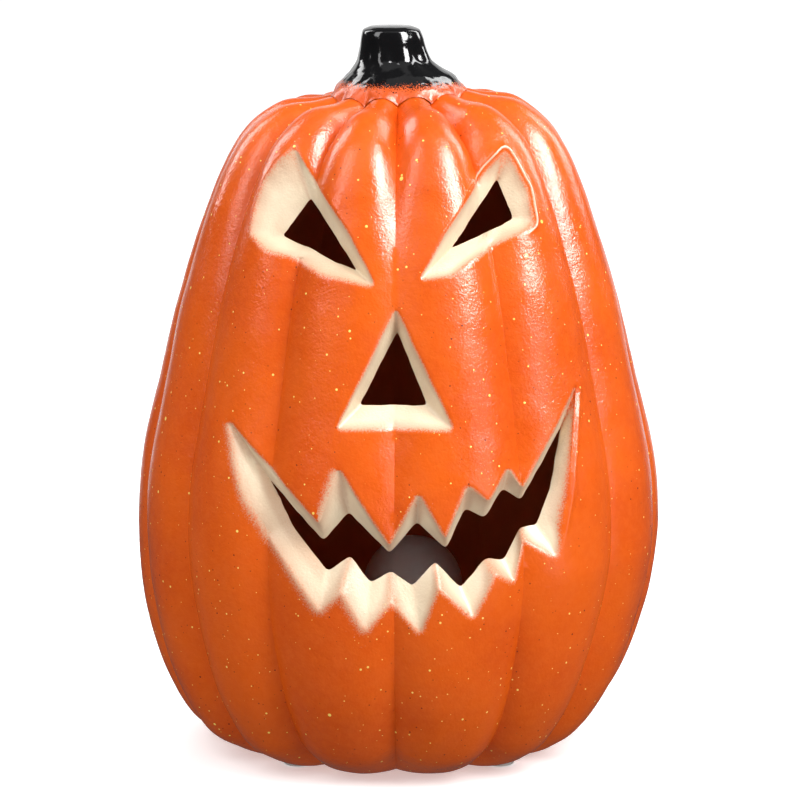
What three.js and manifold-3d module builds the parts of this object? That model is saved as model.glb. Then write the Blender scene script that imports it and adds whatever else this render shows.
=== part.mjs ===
// A ceramic jack-o'-lantern, 254 mm tall, with a battery light unit plugged into its foot.
//
// Millimetres, +Z up. The face looks along -Y and the viewer's right is +X. The origin is on the
// surface that the foot pads stand on, under the middle of the body. The body and the stem are
// drawn from the table up, and are then lifted onto the pads by LIFT. All the other heights are
// above the table, those of the foot's recess too.

import * as THREE from 'three';
import { mergeVertices } from 'three/addons/utils/BufferGeometryUtils.js';
import Module from 'manifold-3d';

const wasm = await Module();
wasm.setup();

// ---- driving dimensions -------------------------------------------------------------------

const GAP = 0.3; // air between pieces that touch
const LIFT = 0.8; // the foot pads hold the body this far up
const WALL = 7; // thickness of the cast wall

// Body: the crest line of a lobe from the foot to the crown, as [radius, height, groove depth].
const CREST = [
  [40, 1.8, 0], [46, 0.4, 0.8], [53, 0.2, 2], [63, 3.8, 4.5], [74.5, 12, 6], [85.3, 33, 6],
  [91.3, 63.5, 4.6], [91, 98, 4.3], [83.5, 133.5, 4.6], [76, 164.5, 5.1], [66.2, 194.6, 6.2],
  [56, 215.5, 7.2], [43, 226.5, 7.7], [30, 228.6, 5.5], [21, 230.4, 2.6], [9.3, 230.9, 0.6],
];
const GROOVES = [-1, 28.5, 57, 85, 110, 134, 158, 182, 206, 230, 254, 278, 304, 330]; // degrees
const GROOVE_SHARPNESS = 2.3; // power of the lobe's cross-section
const SIDE_DRIFT = 8; // degrees that the side grooves swing forward for 100 mm of height
const DRIFT_HEIGHT = 120; // height where the grooves stand at the angles above
const TUCK = 6; // how much further the right flank draws in at the foot
const TUCK_HEIGHT = 75; // the tuck is spent at this height
const TUCK_FROM = 48; // radius where the tuck begins, clear of the foot
const TUCK_SPAN = 25; // it is whole this much further out
const LEAN = 1; // the right shoulder stands this much higher, and the left one lower
const LEAN_HEIGHT = 150; // the lean begins here, and is whole LEAN_SPAN higher
const LEAN_SPAN = 75;
const INNER_WAVE = 0.5; // the lobes are this much shallower inside
const LOBE_STEPS = 4; // facets across a lobe
const CROWN_HEIGHT = 230.9; // middle of the crown, under the stem
const CEILING_HEIGHT = 223.7; // middle of the hollow's top

// Foot: the recess that takes the light unit's flange, and the round hole above it.
const RECESS_RADIUS = 39.2;
const LEDGE_HEIGHT = 7.2;
const BASE_HOLE_RADIUS = 33.4;
const FLOOR_HEIGHT = 14;
const FLOOR_RADIUS = 55; // the hollow's floor is flat out to here

// Face: each opening is cut at a slant, so it has an outline on the outside and one on the
// inside. A row is a corner: [outer x, outer z, inner x, inner z], seen from the front.
const NOSE = [[-1, 164.5, -0.5, 157], [18, 126.5, 9.5, 133], [-20.5, 126.5, -13, 133]];
const LEFT_EYE = [
  [-35, 215, -29.5, 198.5], [-26.5, 202, -26, 194], [-18, 191, -21, 187], [-11.5, 179.5, -16, 179.5],
  [-8, 172.5, -14, 176.5], [-25.5, 176, -21.5, 179], [-34.5, 180, -28, 182], [-44.5, 182.5, -34.5, 184],
  [-50, 187, -39, 186], [-48.5, 195.5, -37, 188.5], [-45, 205, -34.5, 192], [-41, 210.5, -32, 195.5],
];
const RIGHT_EYE = [
  [36, 214.5, 33, 205], [39.5, 209, 34.5, 201], [43.5, 201.5, 36.5, 196.5], [45.5, 190.5, 38.5, 191.5],
  [31, 184, 33, 189], [24, 180.5, 27.5, 187], [17.5, 176, 22, 185], [7, 174.5, 17.5, 183.5],
  [16.5, 190.5, 20.5, 187.5], [22.5, 198.5, 24.5, 193], [29.5, 208.5, 29, 199],
];
const MOUTH_TOP = [
  [-57, 125.5, -43, 106.5], [-26.5, 95, -25, 88.5], [-20, 113.5, -16.5, 98.5], [-3, 87.5, -3, 84.5],
  [6.5, 105.5, 6, 95.5], [15.5, 90.5, 15.5, 86], [23, 108, 22, 99.5], [30, 102, 28.5, 95.5],
  [36.5, 112.5, 34.5, 105], [41.5, 104.5, 40.5, 100], [60, 136.5, 54.5, 122.5],
];
const MOUTH_BOTTOM = [
  [57.5, 106.5, 50.5, 102.5], [53, 81.5, 46, 91.5], [41.5, 88, 40.5, 91], [38.5, 74, 35, 80.5],
  [32, 78.5, 29, 82.5], [25, 63.5, 20.5, 72.5], [13, 75, 12, 82], [7, 58.5, 4.5, 73.5],
  [-2.5, 69.5, -2.5, 78.5], [-11, 60, -9.5, 74.5], [-19, 73.5, -16, 84], [-26.5, 66, -23.5, 78],
  [-42.5, 88, -35.5, 92.5], [-52, 102.5, -39.5, 100.5],
];
const OUTLINE_STEP = 9; // longest stretch of an outline between two points
const EDGE_BOW = 0.02; // the points along an outline's edge stand out by this, so none is in line
const CUT_OVERRUN = 9; // how far a cut runs on past each face of the wall

// Stem: flank from the collar to the tip, as [radius, height, flute depth, middle x].
const STEM = [
  [22, 232.3, 0.2, 0.3], [20.7, 233.7, 0.5, 0.3], [18.3, 236.4, 0.9, 0.4], [15.6, 238.6, 1.2, -0.7],
  [13.3, 240.8, 1.4, -1.6], [12.3, 243, 1.4, -1.9], [11.5, 246, 1.2, -2.1], [11, 248.6, 0.9, -2.3],
  [10.4, 250.6, 0.7, -2.5], [9.6, 251.8, 0.5, -2.6], [7.3, 252.7, 0.2, -2.7],
];
const STEM_TIP = [-2.7, 253]; // x and height
const FLUTES = 8;
const COLLAR_EDGE = 0.6; // thickness of the collar's rim
const COLLAR_GAP = 0.4; // the collar stands this far off the crown
const COLLAR_LIFT = 1; // and this far at the middle
const COLLAR_ROWS = [1, 14.6 / 15, 14.2 / 15, 13.7 / 15]; // rows of the crown that the collar lies on

// Foot pads
const PAD = { radius: 5.2, height: 2, ring: 49.5, angles: [45, 135, 225, 315] };

// Light unit
const FLANGE = { radius: 38, bottom: 2.6, top: 4.8 };
const CUP_RADIUS = 32.4;
const CUP_WALL = 2;
const DECK = { bottom: 16.8, top: 18.6 }; // plate between the batteries and the circuit
const CUP_TOP = 27;
const BAY = { x: 17, y: 24.5, bottom: 4.6 }; // half sizes of the battery compartment
const WINDOW = { x: 18, front: -25.5, back: 26.6 }; // the door's opening in the flange
const DOOR = { x: 17.7, front: -25.2, hinge: 25.4, bottom: 2.7, top: 4.3 };
const HINGE_PIN = { radius: 0.8, hole: 1.2, length: 1.5 };
const TONGUE = { x: 5, front: -31.2, hole: 1.6 }; // the door's screw tongue
const DOOR_SCREW = { y: -28.3, head: 2.7, headBottom: 1.2, shank: 1.2, top: 8, hole: 1.9, holeTop: 12 };
const CELL = { radius: 5.25, length: 43.7, nub: 1.9, nubLength: 0.8, pitch: 11, z: 10.7 };
const SWITCH = { x: 25, width: 8, length: 16, bottom: 4.9, top: 12 };
const KNOB = { width: 2.4, length: 3, bottom: 1.3, top: 7.4, rest: -2, slot: 4.4, play: 0.4 };
const BOARD = { x: 3, width: 40, depth: 30, bottom: 19.2, top: 20.8 };
const COVER = { bottom: 27.3, top: 29.3 };
const SCREW_CIRCLE = { radius: 27, angles: [60, 180, 300], boss: 3.5, hole: 1.35, clear: 1.7 };
const COVER_SCREW = { head: 2.8, headTop: 31.1, shank: 1, bottom: 20.4 };
const DOME = { x: 5, radius: 17.5, wall: 1.5, flange: 20, flangeBottom: 25.2, flangeTop: 27, centre: 56 };
const LED = { radius: 2.5, rim: 0.4, bottom: 21.1, shoulder: 25.5, spacing: 7 };
const CHIP = { x: -11, width: 6, depth: 8, height: 1.7 };
const GASKET = { inner: 33.6, outer: 37.5 };
const SPRING = { radius: 3.6, small: 2.4, height: 1.5 };
const CONTACT = { size: 8, thickness: 0.4 };
const WIRE = { radius: 0.6, hole: 1.4, holeY: 21.5 };
// A wire's way from the battery bay up through the deck to the board, as [y, z].
const WIRE_ROUTE = [[22.9, 13.4], [22.4, 15.2], [WIRE.holeY, 17.7], [20.5, 20.6], [17.6, 21.9], [13.6, 22]];

// ---- materials ------------------------------------------------------------------------------

const paint = (color, roughness, metalness = 0) =>
  new THREE.MeshStandardMaterial({ color, roughness, metalness });
const ORANGE_GLAZE = paint(0xdb6524, 0.4);
const BLACK_GLAZE = paint(0x0b0a0b, 0.15);
const BLACK_PLASTIC = paint(0x17171a, 0.55);
const FROSTED_PLASTIC = paint(0xcfc8bf, 0.5);
const RUBBER = paint(0x2a2a2a, 0.9);
const CLEAR_RUBBER = paint(0xcfcbc3, 0.6);
const STEEL = paint(0xb9bcc0, 0.3, 1);
const NICKEL = paint(0xcbc7bb, 0.25, 1);
const CELL_JACKET = paint(0x2f4f3a, 0.4);
const BOARD_GREEN = paint(0x1f5a35, 0.5);
const LED_AMBER = paint(0xf0b45a, 0.2);
const RED_PVC = paint(0xa8201a, 0.5);
const BLACK_PVC = paint(0x141414, 0.5);
const WHITE_PLASTIC = paint(0xe6e3dc, 0.4);

const WIRES = [
  { name: 'wire_red', x: -5.5, material: RED_PVC },
  { name: 'wire_black', x: 5.5, material: BLACK_PVC },
];

// ---- small helpers --------------------------------------------------------------------------

const radians = THREE.MathUtils.degToRad;
const lantern = new THREE.Group();

function add(name, geometry, material, z = 0) {
  const mesh = new THREE.Mesh(geometry, material);
  mesh.name = name;
  mesh.position.z = z;
  lantern.add(mesh);
}

function toSolid(geometry) {
  const bare = geometry.clone();
  bare.deleteAttribute('normal');
  bare.deleteAttribute('uv');
  const merged = mergeVertices(bare, 1e-4);
  const vertProperties = new Float32Array(merged.attributes.position.array);
  const triVerts = new Uint32Array(merged.index.array);
  return new wasm.Manifold(new wasm.Mesh({ numProp: 3, vertProperties, triVerts }));
}

function toGeometry(solid) {
  const { vertProperties, triVerts } = solid.getMesh();
  const geometry = new THREE.BufferGeometry();
  geometry.setAttribute('position', new THREE.BufferAttribute(new Float32Array(vertProperties), 3));
  geometry.setIndex(new THREE.BufferAttribute(new Uint32Array(triVerts), 1));
  geometry.computeVertexNormals();
  return geometry;
}

/** A place on a circle about the axis. */
const placeOn = (radius, angle) => [radius * Math.cos(radians(angle)), radius * Math.sin(radians(angle))];
const padPlace = (angle) => placeOn(PAD.ring, angle);
const screwPlace = (angle) => placeOn(SCREW_CIRCLE.radius, angle);

/** A box between two corners. */
function block(x0, x1, y0, y1, z0, z1) {
  const geometry = new THREE.BoxGeometry(x1 - x0, y1 - y0, z1 - z0);
  return geometry.translate((x0 + x1) / 2, (y0 + y1) / 2, (z0 + z1) / 2);
}

/** An upright cylinder. */
function disc(radius, z0, z1, x = 0, y = 0, sides = 24) {
  const geometry = new THREE.CylinderGeometry(radius, radius, z1 - z0, sides);
  return geometry.rotateX(Math.PI / 2).translate(x, y, (z0 + z1) / 2);
}

/** A solid of revolution about an upright axis from [radius, z] pairs that start and end on it. */
function turned(profile, x = 0, y = 0, sides = 24) {
  const points = profile.map(([r, z]) => new THREE.Vector2(r, z));
  return new THREE.LatheGeometry(points, sides).rotateX(Math.PI / 2).translate(x, y, 0);
}

/** A flat ring about the axis. */
function ring(inner, outer, z0, z1, sides = 32) {
  return turned([[inner, z0], [outer, z0], [outer, z1], [inner, z1], [inner, z0]], 0, 0, sides);
}

function signedVolume(geometry) {
  const position = geometry.attributes.position;
  const index = geometry.index.array;
  const corner = (i) => new THREE.Vector3().fromBufferAttribute(position, index[i]);
  let volume = 0;
  for (let i = 0; i < index.length; i += 3) {
    volume += corner(i).dot(corner(i + 1).cross(corner(i + 2))) / 6;
  }
  return volume;
}

/** An indexed closed surface, turned right side out. */
function closedSurface(points, triangles) {
  const geometry = new THREE.BufferGeometry().setFromPoints(points);
  geometry.setIndex(triangles.flat());
  if (signedVolume(geometry) < 0) {
    geometry.setIndex(triangles.map(([a, b, c]) => [a, c, b]).flat());
  }
  geometry.computeVertexNormals();
  return geometry;
}

/** A closed skin through rings of equal length, with a point closing each end. */
function skinned(firstPole, rings, lastPole) {
  const count = rings[0].length;
  const points = [firstPole, ...rings.flat(), lastPole];
  const last = points.length - 1;
  const triangles = [];
  for (let j = 0; j < count; j += 1) {
    const k = (j + 1) % count;
    triangles.push([0, 1 + k, 1 + j]);
    for (let i = 0; i + 1 < rings.length; i += 1) {
      const a = 1 + i * count;
      const b = a + count;
      triangles.push([a + j, a + k, b + k], [a + j, b + k, b + j]);
    }
    const end = 1 + (rings.length - 1) * count;
    triangles.push([last, end + j, end + k]);
  }
  return closedSurface(points, triangles);
}

// ---- the lobed wall --------------------------------------------------------------------------

/** Catmull-Rom curve through CREST: t runs from 0 at the foot to 1 at the crown. */
function crest(t) {
  const spans = CREST.length - 1;
  const i = Math.min(Math.floor(t * spans), spans - 1);
  const u = t * spans - i;
  const mirrored = (from, to) => CREST[from].map((v, axis) => 2 * v - CREST[to][axis]);
  const at = (k) => {
    if (k < 0) return mirrored(0, 1);
    if (k > spans) return mirrored(spans, spans - 1);
    return CREST[k];
  };
  const [a, b, c, d] = [at(i - 1), at(i), at(i + 1), at(i + 2)];
  return b.map((_, n) => 0.5 * (2 * b[n] + (c[n] - a[n]) * u
    + (2 * a[n] - 5 * b[n] + 4 * c[n] - d[n]) * u ** 2
    + (3 * b[n] - a[n] - 3 * c[n] + d[n]) * u ** 3));
}

/** 0 on the crest of a lobe, rising to 1 in the grooves beside it. */
function lobeWave(angle) {
  const turn = THREE.MathUtils.euclideanModulo(angle - GROOVES[0], 360) + GROOVES[0];
  const next = GROOVES.findIndex((groove) => groove > turn);
  const right = next < 0 ? GROOVES[0] + 360 : GROOVES[next];
  const left = next < 0 ? GROOVES.at(-1) : GROOVES[next - 1];
  return Math.abs((2 * (turn - left)) / (right - left) - 1) ** GROOVE_SHARPNESS;
}

/** A point of the wall: angle in degrees from the front, positive to the right; inset into it. */
function wallPoint(angle, t, inset = 0, wave = 1) {
  const [radius, height, depth] = crest(t);
  const step = 1e-4;
  const [r0, z0] = crest(Math.max(t - step, 0));
  const [r1, z1] = crest(Math.min(t + step, 1));
  const length = Math.hypot(r1 - r0, z1 - z0);
  const sink = depth * wave * lobeWave(angle) + inset;
  let r = radius - (sink * (z1 - z0)) / length;
  let z = height + (sink * (r1 - r0)) / length;
  const side = Math.sin(radians(angle));
  const drift = Math.sign(side) * side ** 4 * ((height - DRIFT_HEIGHT) / 100);
  const around = radians(angle + SIDE_DRIFT * drift);
  const right = Math.sin(around);
  const flank = THREE.MathUtils.clamp((radius - TUCK_FROM) / TUCK_SPAN, 0, 1);
  r -= TUCK * flank * Math.max(right, 0) ** 2 * Math.max(1 - z / TUCK_HEIGHT, 0);
  z += LEAN * right * Math.max((z - LEAN_HEIGHT) / LEAN_SPAN, 0) ** 2;
  return new THREE.Vector3(r * right, -r * Math.cos(around), z);
}

/** The wall's point at (x, z) as seen from the front, found by Newton's method. */
function frontPoint(x, z, inset, wave) {
  let t = 0.5;
  for (let low = 0.2, high = 0.85, i = 0; i < 20; i += 1) {
    t = (low + high) / 2;
    if (crest(t)[1] < z) low = t;
    else high = t;
  }
  let angle = THREE.MathUtils.radToDeg(Math.asin(x / crest(t)[0]));
  for (let i = 0; i < 12; i += 1) {
    const here = wallPoint(angle, t, inset, wave);
    const aside = wallPoint(angle + 0.01, t, inset, wave).sub(here).divideScalar(0.01);
    const raised = wallPoint(angle, t + 1e-4, inset, wave).sub(here).divideScalar(1e-4);
    const [dx, dz] = [x - here.x, z - here.z];
    const det = aside.x * raised.z - raised.x * aside.z;
    angle += (dx * raised.z - raised.x * dz) / det;
    t += (aside.x * dz - dx * aside.z) / det;
  }
  return new THREE.Vector3(x, wallPoint(angle, t, inset, wave).y, z);
}

const columns = GROOVES.flatMap((groove, i) => {
  const next = i + 1 < GROOVES.length ? GROOVES[i + 1] : GROOVES[0] + 360;
  return Array.from({ length: LOBE_STEPS }, (_, k) => groove + ((next - groove) * k) / LOBE_STEPS);
});
const wallRing = (t, inset, wave) => columns.map((angle) => wallPoint(angle, t, inset, wave));
const circle = (radius, z) => columns.map((angle) => new THREE.Vector3(
  radius * Math.sin(radians(angle)), -radius * Math.cos(radians(angle)), z));
const onAxis = (z) => new THREE.Vector3(0, 0, z);
const between = (start, end, count) =>
  Array.from({ length: count + 1 }, (_, i) => start + ((end - start) * i) / count);

// ---- body, stem and pads ---------------------------------------------------------------------

/** The closed tool that cuts a slanted opening through the front wall. */
function faceCut(corners) {
  const flat = (points) => points.map((p) => new THREE.Vector2(p.x, p.z));
  const drawn = corners.map(([x, z]) => new THREE.Vector2(x, z));
  const ordered = THREE.ShapeUtils.isClockWise(drawn) ? [...corners].reverse() : corners;
  const pairs = ordered.flatMap((corner, i) => {
    const next = ordered[(i + 1) % ordered.length];
    const length = Math.hypot(next[0] - corner[0], next[1] - corner[1]);
    const steps = Math.ceil(length / OUTLINE_STEP);
    const [outX, outZ] = [(next[1] - corner[1]) / length, (corner[0] - next[0]) / length];
    return Array.from({ length: steps }, (_, k) => {
      const bow = k > 0 ? EDGE_BOW : 0;
      return corner.map((v, n) => v + ((next[n] - v) * k) / steps + bow * (n % 2 ? outZ : outX));
    });
  });
  const outer = pairs.map(([x, z]) => frontPoint(x, z, 0, 1));
  const inner = pairs.map(([, , x, z]) => frontPoint(x, z, WALL, INNER_WAVE));
  const shifted = (points, dy) => points.map((p) => new THREE.Vector3(p.x, p.y + dy, p.z));
  const rings = [shifted(outer, -CUT_OVERRUN), outer, inner, shifted(inner, CUT_OVERRUN)];
  const count = pairs.length;
  const triangles = [];
  for (let i = 0; i + 1 < rings.length; i += 1) {
    for (let j = 0; j < count; j += 1) {
      const [a, b] = [i * count + j, i * count + ((j + 1) % count)];
      triangles.push([a, b + count, b], [a, a + count, b + count]);
    }
  }
  const cap = (points) => {
    const shape = flat(points);
    return THREE.ShapeUtils.triangulateShape(shape, []).map((triangle) =>
      (THREE.ShapeUtils.isClockWise(triangle.map((k) => shape[k])) ? triangle.reverse() : triangle));
  };
  triangles.push(...cap(rings[0]));
  triangles.push(...cap(rings[3]).map((triangle) => triangle.reverse().map((k) => k + 3 * count)));
  return closedSurface(rings.flat(), triangles);
}

function bodyShell() {
  const rows = [
    ...between(1, 12 / 15, 5),
    ...between(12 / 15, 4 / 15, 16).slice(1),
    ...between(4 / 15, 0, 5).slice(1),
  ];
  const outside = rows.map((t) => wallRing(t, 0, 1));
  const foot = [
    circle(RECESS_RADIUS, LEDGE_HEIGHT - LIFT),
    circle(BASE_HOLE_RADIUS, LEDGE_HEIGHT - LIFT),
    circle(BASE_HOLE_RADIUS, FLOOR_HEIGHT - LIFT),
    circle(FLOOR_RADIUS, FLOOR_HEIGHT - LIFT),
  ];
  const inside = between(4 / 15, 14 / 15, 12).map((t) => wallRing(t, WALL, INNER_WAVE));
  return skinned(onAxis(CROWN_HEIGHT), [...outside, ...foot, ...inside], onAxis(CEILING_HEIGHT));
}

function body() {
  let solid = toSolid(bodyShell());
  for (const corners of [NOSE, LEFT_EYE, RIGHT_EYE, [...MOUTH_TOP, ...MOUTH_BOTTOM]]) {
    solid = solid.subtract(toSolid(faceCut(corners)));
  }
  for (const angle of PAD.angles) {
    const [x, y] = padPlace(angle);
    const socket = disc(PAD.radius + GAP, -2, PAD.height + GAP - LIFT, x, y, 16);
    solid = solid.subtract(toSolid(socket));
  }
  return toGeometry(solid);
}

function stem() {
  const under = COLLAR_ROWS.map((t) => wallRing(t, -COLLAR_GAP, 1));
  const rim = under.at(-1).map((p) => new THREE.Vector3(p.x * 0.99, p.y * 0.99, p.z + COLLAR_EDGE));
  const flank = STEM.map(([radius, height, depth, middle]) => columns.map((angle) => {
    const r = radius - depth * Math.abs(Math.sin(radians((FLUTES / 2) * angle)));
    return new THREE.Vector3(
      middle + r * Math.sin(radians(angle)), -r * Math.cos(radians(angle)), height);
  }));
  const tip = new THREE.Vector3(STEM_TIP[0], 0, STEM_TIP[1]);
  return skinned(onAxis(CROWN_HEIGHT + COLLAR_LIFT), [...under, rim, ...flank], tip);
}

add('pumpkin_body', body(), ORANGE_GLAZE, LIFT);
add('stem', stem(), BLACK_GLAZE, LIFT);
PAD.angles.forEach((angle, i) => {
  const [x, y] = padPlace(angle);
  add(`foot_pad_${i + 1}`, disc(PAD.radius, 0, PAD.height, x, y, 16), CLEAR_RUBBER);
});

// ---- light unit ------------------------------------------------------------------------------

function lightHousing() {
  let solid = toSolid(turned([
    [0, FLANGE.bottom], [FLANGE.radius, FLANGE.bottom], [FLANGE.radius, FLANGE.top],
    [CUP_RADIUS, FLANGE.top], [CUP_RADIUS, CUP_TOP], [CUP_RADIUS - CUP_WALL, CUP_TOP],
    [CUP_RADIUS - CUP_WALL, DECK.top], [0, DECK.top],
  ], 0, 0, 40));
  for (const angle of SCREW_CIRCLE.angles) {
    const [x, y] = screwPlace(angle);
    solid = solid.add(toSolid(disc(SCREW_CIRCLE.boss, DECK.top - 1, CUP_TOP, x, y, 12)));
    solid = solid.subtract(toSolid(disc(SCREW_CIRCLE.hole, DECK.top + 1, CUP_TOP + 1, x, y, 8)));
  }
  const under = FLANGE.bottom - 1;
  const bay = block(-BAY.x, BAY.x, -BAY.y, BAY.y, BAY.bottom - 1, DECK.bottom);
  const window = block(-WINDOW.x, WINDOW.x, WINDOW.front, WINDOW.back, under, BAY.bottom);
  const tongue = block(
    -TONGUE.x - GAP, TONGUE.x + GAP, TONGUE.front - GAP, -BAY.y, under, BAY.bottom);
  const screwHole = disc(DOOR_SCREW.hole, under, DOOR_SCREW.holeTop, 0, DOOR_SCREW.y, 12);
  const half = SWITCH.width / 2 + GAP;
  const long = SWITCH.length / 2 + GAP;
  const pocket = block(SWITCH.x - half, SWITCH.x + half, -long, long, BAY.bottom, SWITCH.top + GAP);
  const slit = KNOB.width / 2 + KNOB.play;
  const slot = block(SWITCH.x - slit, SWITCH.x + slit, -KNOB.slot, KNOB.slot, under, BAY.bottom + 1);
  const pinEnd = DOOR.x + HINGE_PIN.length + GAP;
  const pinHole = new THREE.CylinderGeometry(HINGE_PIN.hole, HINGE_PIN.hole, 2 * pinEnd, 10)
    .rotateZ(Math.PI / 2).translate(0, DOOR.hinge, (DOOR.bottom + DOOR.top) / 2);
  const wireHoles = WIRES.map(({ x }) =>
    disc(WIRE.hole, DECK.bottom - 1, DECK.top + 1, x, WIRE.holeY, 8));
  for (const cut of [bay, window, tongue, screwHole, pocket, slot, pinHole, ...wireHoles]) {
    solid = solid.subtract(toSolid(cut));
  }
  return toGeometry(solid);
}

function batteryDoor() {
  const middle = (DOOR.bottom + DOOR.top) / 2;
  const barrel = (radius, halfLength) =>
    new THREE.CylinderGeometry(radius, radius, 2 * halfLength, 12)
      .rotateZ(Math.PI / 2).translate(0, DOOR.hinge, middle);
  let solid = toSolid(block(-DOOR.x, DOOR.x, DOOR.front, DOOR.hinge, DOOR.bottom, DOOR.top));
  solid = solid.add(toSolid(block(
    -TONGUE.x, TONGUE.x, TONGUE.front, DOOR.front + 1, DOOR.bottom, DOOR.top)));
  solid = solid.add(toSolid(barrel(HINGE_PIN.radius, DOOR.x + HINGE_PIN.length)));
  const hole = disc(TONGUE.hole, DOOR.bottom - 1, DOOR.top + 1, 0, DOOR_SCREW.y, 12);
  solid = solid.subtract(toSolid(hole));
  return toGeometry(solid);
}

/** A screw whose head is between z0 and z1, and whose shank runs on to end, up or down. */
function screw({ head, z0, z1, shank, end }, x, y) {
  const profile = z0 < end
    ? [[0, z0], [head, z0], [head, z1], [shank, z1], [shank, end], [0, end]]
    : [[0, end], [shank, end], [shank, z1], [head, z1], [head, z0], [0, z0]];
  return turned(profile, x, y, 12);
}

/** A dry cell lying along Y; side is +1 when its nub points to +Y. */
function battery(x, side) {
  const end = CELL.length / 2;
  const points = [
    [0, -end], [CELL.radius, -end], [CELL.radius, end], [CELL.nub, end],
    [CELL.nub, end + CELL.nubLength], [0, end + CELL.nubLength],
  ].map(([r, y]) => new THREE.Vector2(r, y - CELL.nubLength / 2));
  const geometry = new THREE.LatheGeometry(points, 16);
  if (side < 0) geometry.rotateZ(Math.PI);
  return geometry.translate(x, 0, CELL.z);
}

/** The outer shape of a conical contact spring, at the cell's flat end. */
function contactSpring(x, side) {
  const points = [
    [0, 0], [SPRING.radius, 0], [SPRING.radius, SPRING.height / 2],
    [SPRING.small, SPRING.height], [0, SPRING.height],
  ];
  const geometry = new THREE.LatheGeometry(points.map(([r, y]) => new THREE.Vector2(r, y)), 12);
  if (side < 0) geometry.rotateZ(Math.PI);
  return geometry.translate(x, side < 0 ? BAY.y - GAP : GAP - BAY.y, CELL.z);
}

/** The flat contact at the cell's other end. */
function contactPlate(x, side) {
  const wall = side * (BAY.y - GAP);
  const face = wall - side * CONTACT.thickness;
  const half = CONTACT.size / 2;
  return block(
    x - half, x + half, Math.min(wall, face), Math.max(wall, face), CELL.z - half, CELL.z + half);
}

function wire(x) {
  const path = new THREE.CatmullRomCurve3(WIRE_ROUTE.map(([y, z]) => new THREE.Vector3(x, y, z)));
  const section = new THREE.Shape().absarc(0, 0, WIRE.radius, 0, 2 * Math.PI);
  return new THREE.ExtrudeGeometry(section, { steps: 12, extrudePath: path, curveSegments: 4 });
}

function switchBody() {
  const half = SWITCH.width / 2;
  const long = SWITCH.length / 2;
  const shell = block(SWITCH.x - half, SWITCH.x + half, -long, long, SWITCH.bottom, SWITCH.top);
  const slit = KNOB.width / 2 + GAP;
  const track = block(
    SWITCH.x - slit, SWITCH.x + slit, -KNOB.slot, KNOB.slot, SWITCH.bottom - 1, KNOB.top + GAP);
  return toGeometry(toSolid(shell).subtract(toSolid(track)));
}

function switchKnob() {
  const half = KNOB.width / 2;
  const long = KNOB.length / 2;
  return block(
    SWITCH.x - half, SWITCH.x + half, KNOB.rest - long, KNOB.rest + long, KNOB.bottom, KNOB.top);
}

function lightCover() {
  const [low, high] = [COVER.bottom - 1, COVER.top + 1];
  let solid = toSolid(disc(CUP_RADIUS, COVER.bottom, COVER.top, 0, 0, 40));
  solid = solid.subtract(toSolid(disc(DOME.radius + GAP, low, high, DOME.x, 0, 24)));
  for (const angle of SCREW_CIRCLE.angles) {
    const [x, y] = screwPlace(angle);
    solid = solid.subtract(toSolid(disc(SCREW_CIRCLE.clear, low, high, x, y, 8)));
  }
  return toGeometry(solid);
}

function diffuserDome() {
  const quarter = between(0, 90, 5).map((angle) => radians(angle));
  const arc = (radius, angles) =>
    angles.map((a) => [radius * Math.cos(a), DOME.centre + radius * Math.sin(a)]);
  const inner = DOME.radius - DOME.wall;
  return turned([
    ...arc(inner, quarter.slice(1)).reverse(), [inner, DOME.centre], [inner, DOME.flangeBottom],
    [DOME.flange, DOME.flangeBottom], [DOME.flange, DOME.flangeTop - GAP],
    [DOME.radius, DOME.flangeTop - GAP], ...arc(DOME.radius, quarter),
  ].map(([r, z]) => [Math.max(r, 0), z]), DOME.x, 0, 24);
}

function led(x) {
  const tip = LED.shoulder + LED.radius;
  const rim = LED.radius + LED.rim;
  return turned([
    [0, LED.bottom], [rim, LED.bottom], [rim, LED.bottom + 1],
    [LED.radius, LED.bottom + 1], [LED.radius, LED.shoulder],
    [LED.radius * 0.8, LED.shoulder + LED.radius * 0.6], [0, tip],
  ], x, 0, 12);
}

add('light_housing', lightHousing(), BLACK_PLASTIC);
add('gasket_ring', ring(
  GASKET.inner, GASKET.outer, FLANGE.top + GAP, LEDGE_HEIGHT - GAP), RUBBER);
add('battery_door', batteryDoor(), BLACK_PLASTIC);
add('battery_door_screw', screw({
  head: DOOR_SCREW.head, z0: DOOR_SCREW.headBottom, z1: DOOR.bottom - GAP,
  shank: DOOR_SCREW.shank, end: DOOR_SCREW.top,
}, 0, DOOR_SCREW.y), STEEL);
[-1, 0, 1].forEach((place, i) => {
  const side = place === 0 ? -1 : 1;
  const x = place * CELL.pitch;
  add(`battery_${i + 1}`, battery(x, side), CELL_JACKET);
  add(`contact_spring_${i + 1}`, contactSpring(x, side), NICKEL);
  add(`contact_plate_${i + 1}`, contactPlate(x, side), NICKEL);
});
add('switch_body', switchBody(), BLACK_PLASTIC);
add('switch_knob', switchKnob(), WHITE_PLASTIC);
add('circuit_board', block(
  BOARD.x - BOARD.width / 2, BOARD.x + BOARD.width / 2, -BOARD.depth / 2, BOARD.depth / 2,
  BOARD.bottom, BOARD.top), BOARD_GREEN);
add('timer_chip', block(
  CHIP.x - CHIP.width / 2, CHIP.x + CHIP.width / 2, -CHIP.depth / 2, CHIP.depth / 2,
  BOARD.top + GAP, BOARD.top + GAP + CHIP.height), BLACK_PLASTIC);
[-1, 0, 1].forEach((place, i) => {
  add(`led_${i + 1}`, led(DOME.x + place * LED.spacing), LED_AMBER);
});
for (const { name, x, material } of WIRES) add(name, wire(x), material);
add('diffuser_dome', diffuserDome(), FROSTED_PLASTIC);
add('light_cover', lightCover(), BLACK_PLASTIC);
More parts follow.
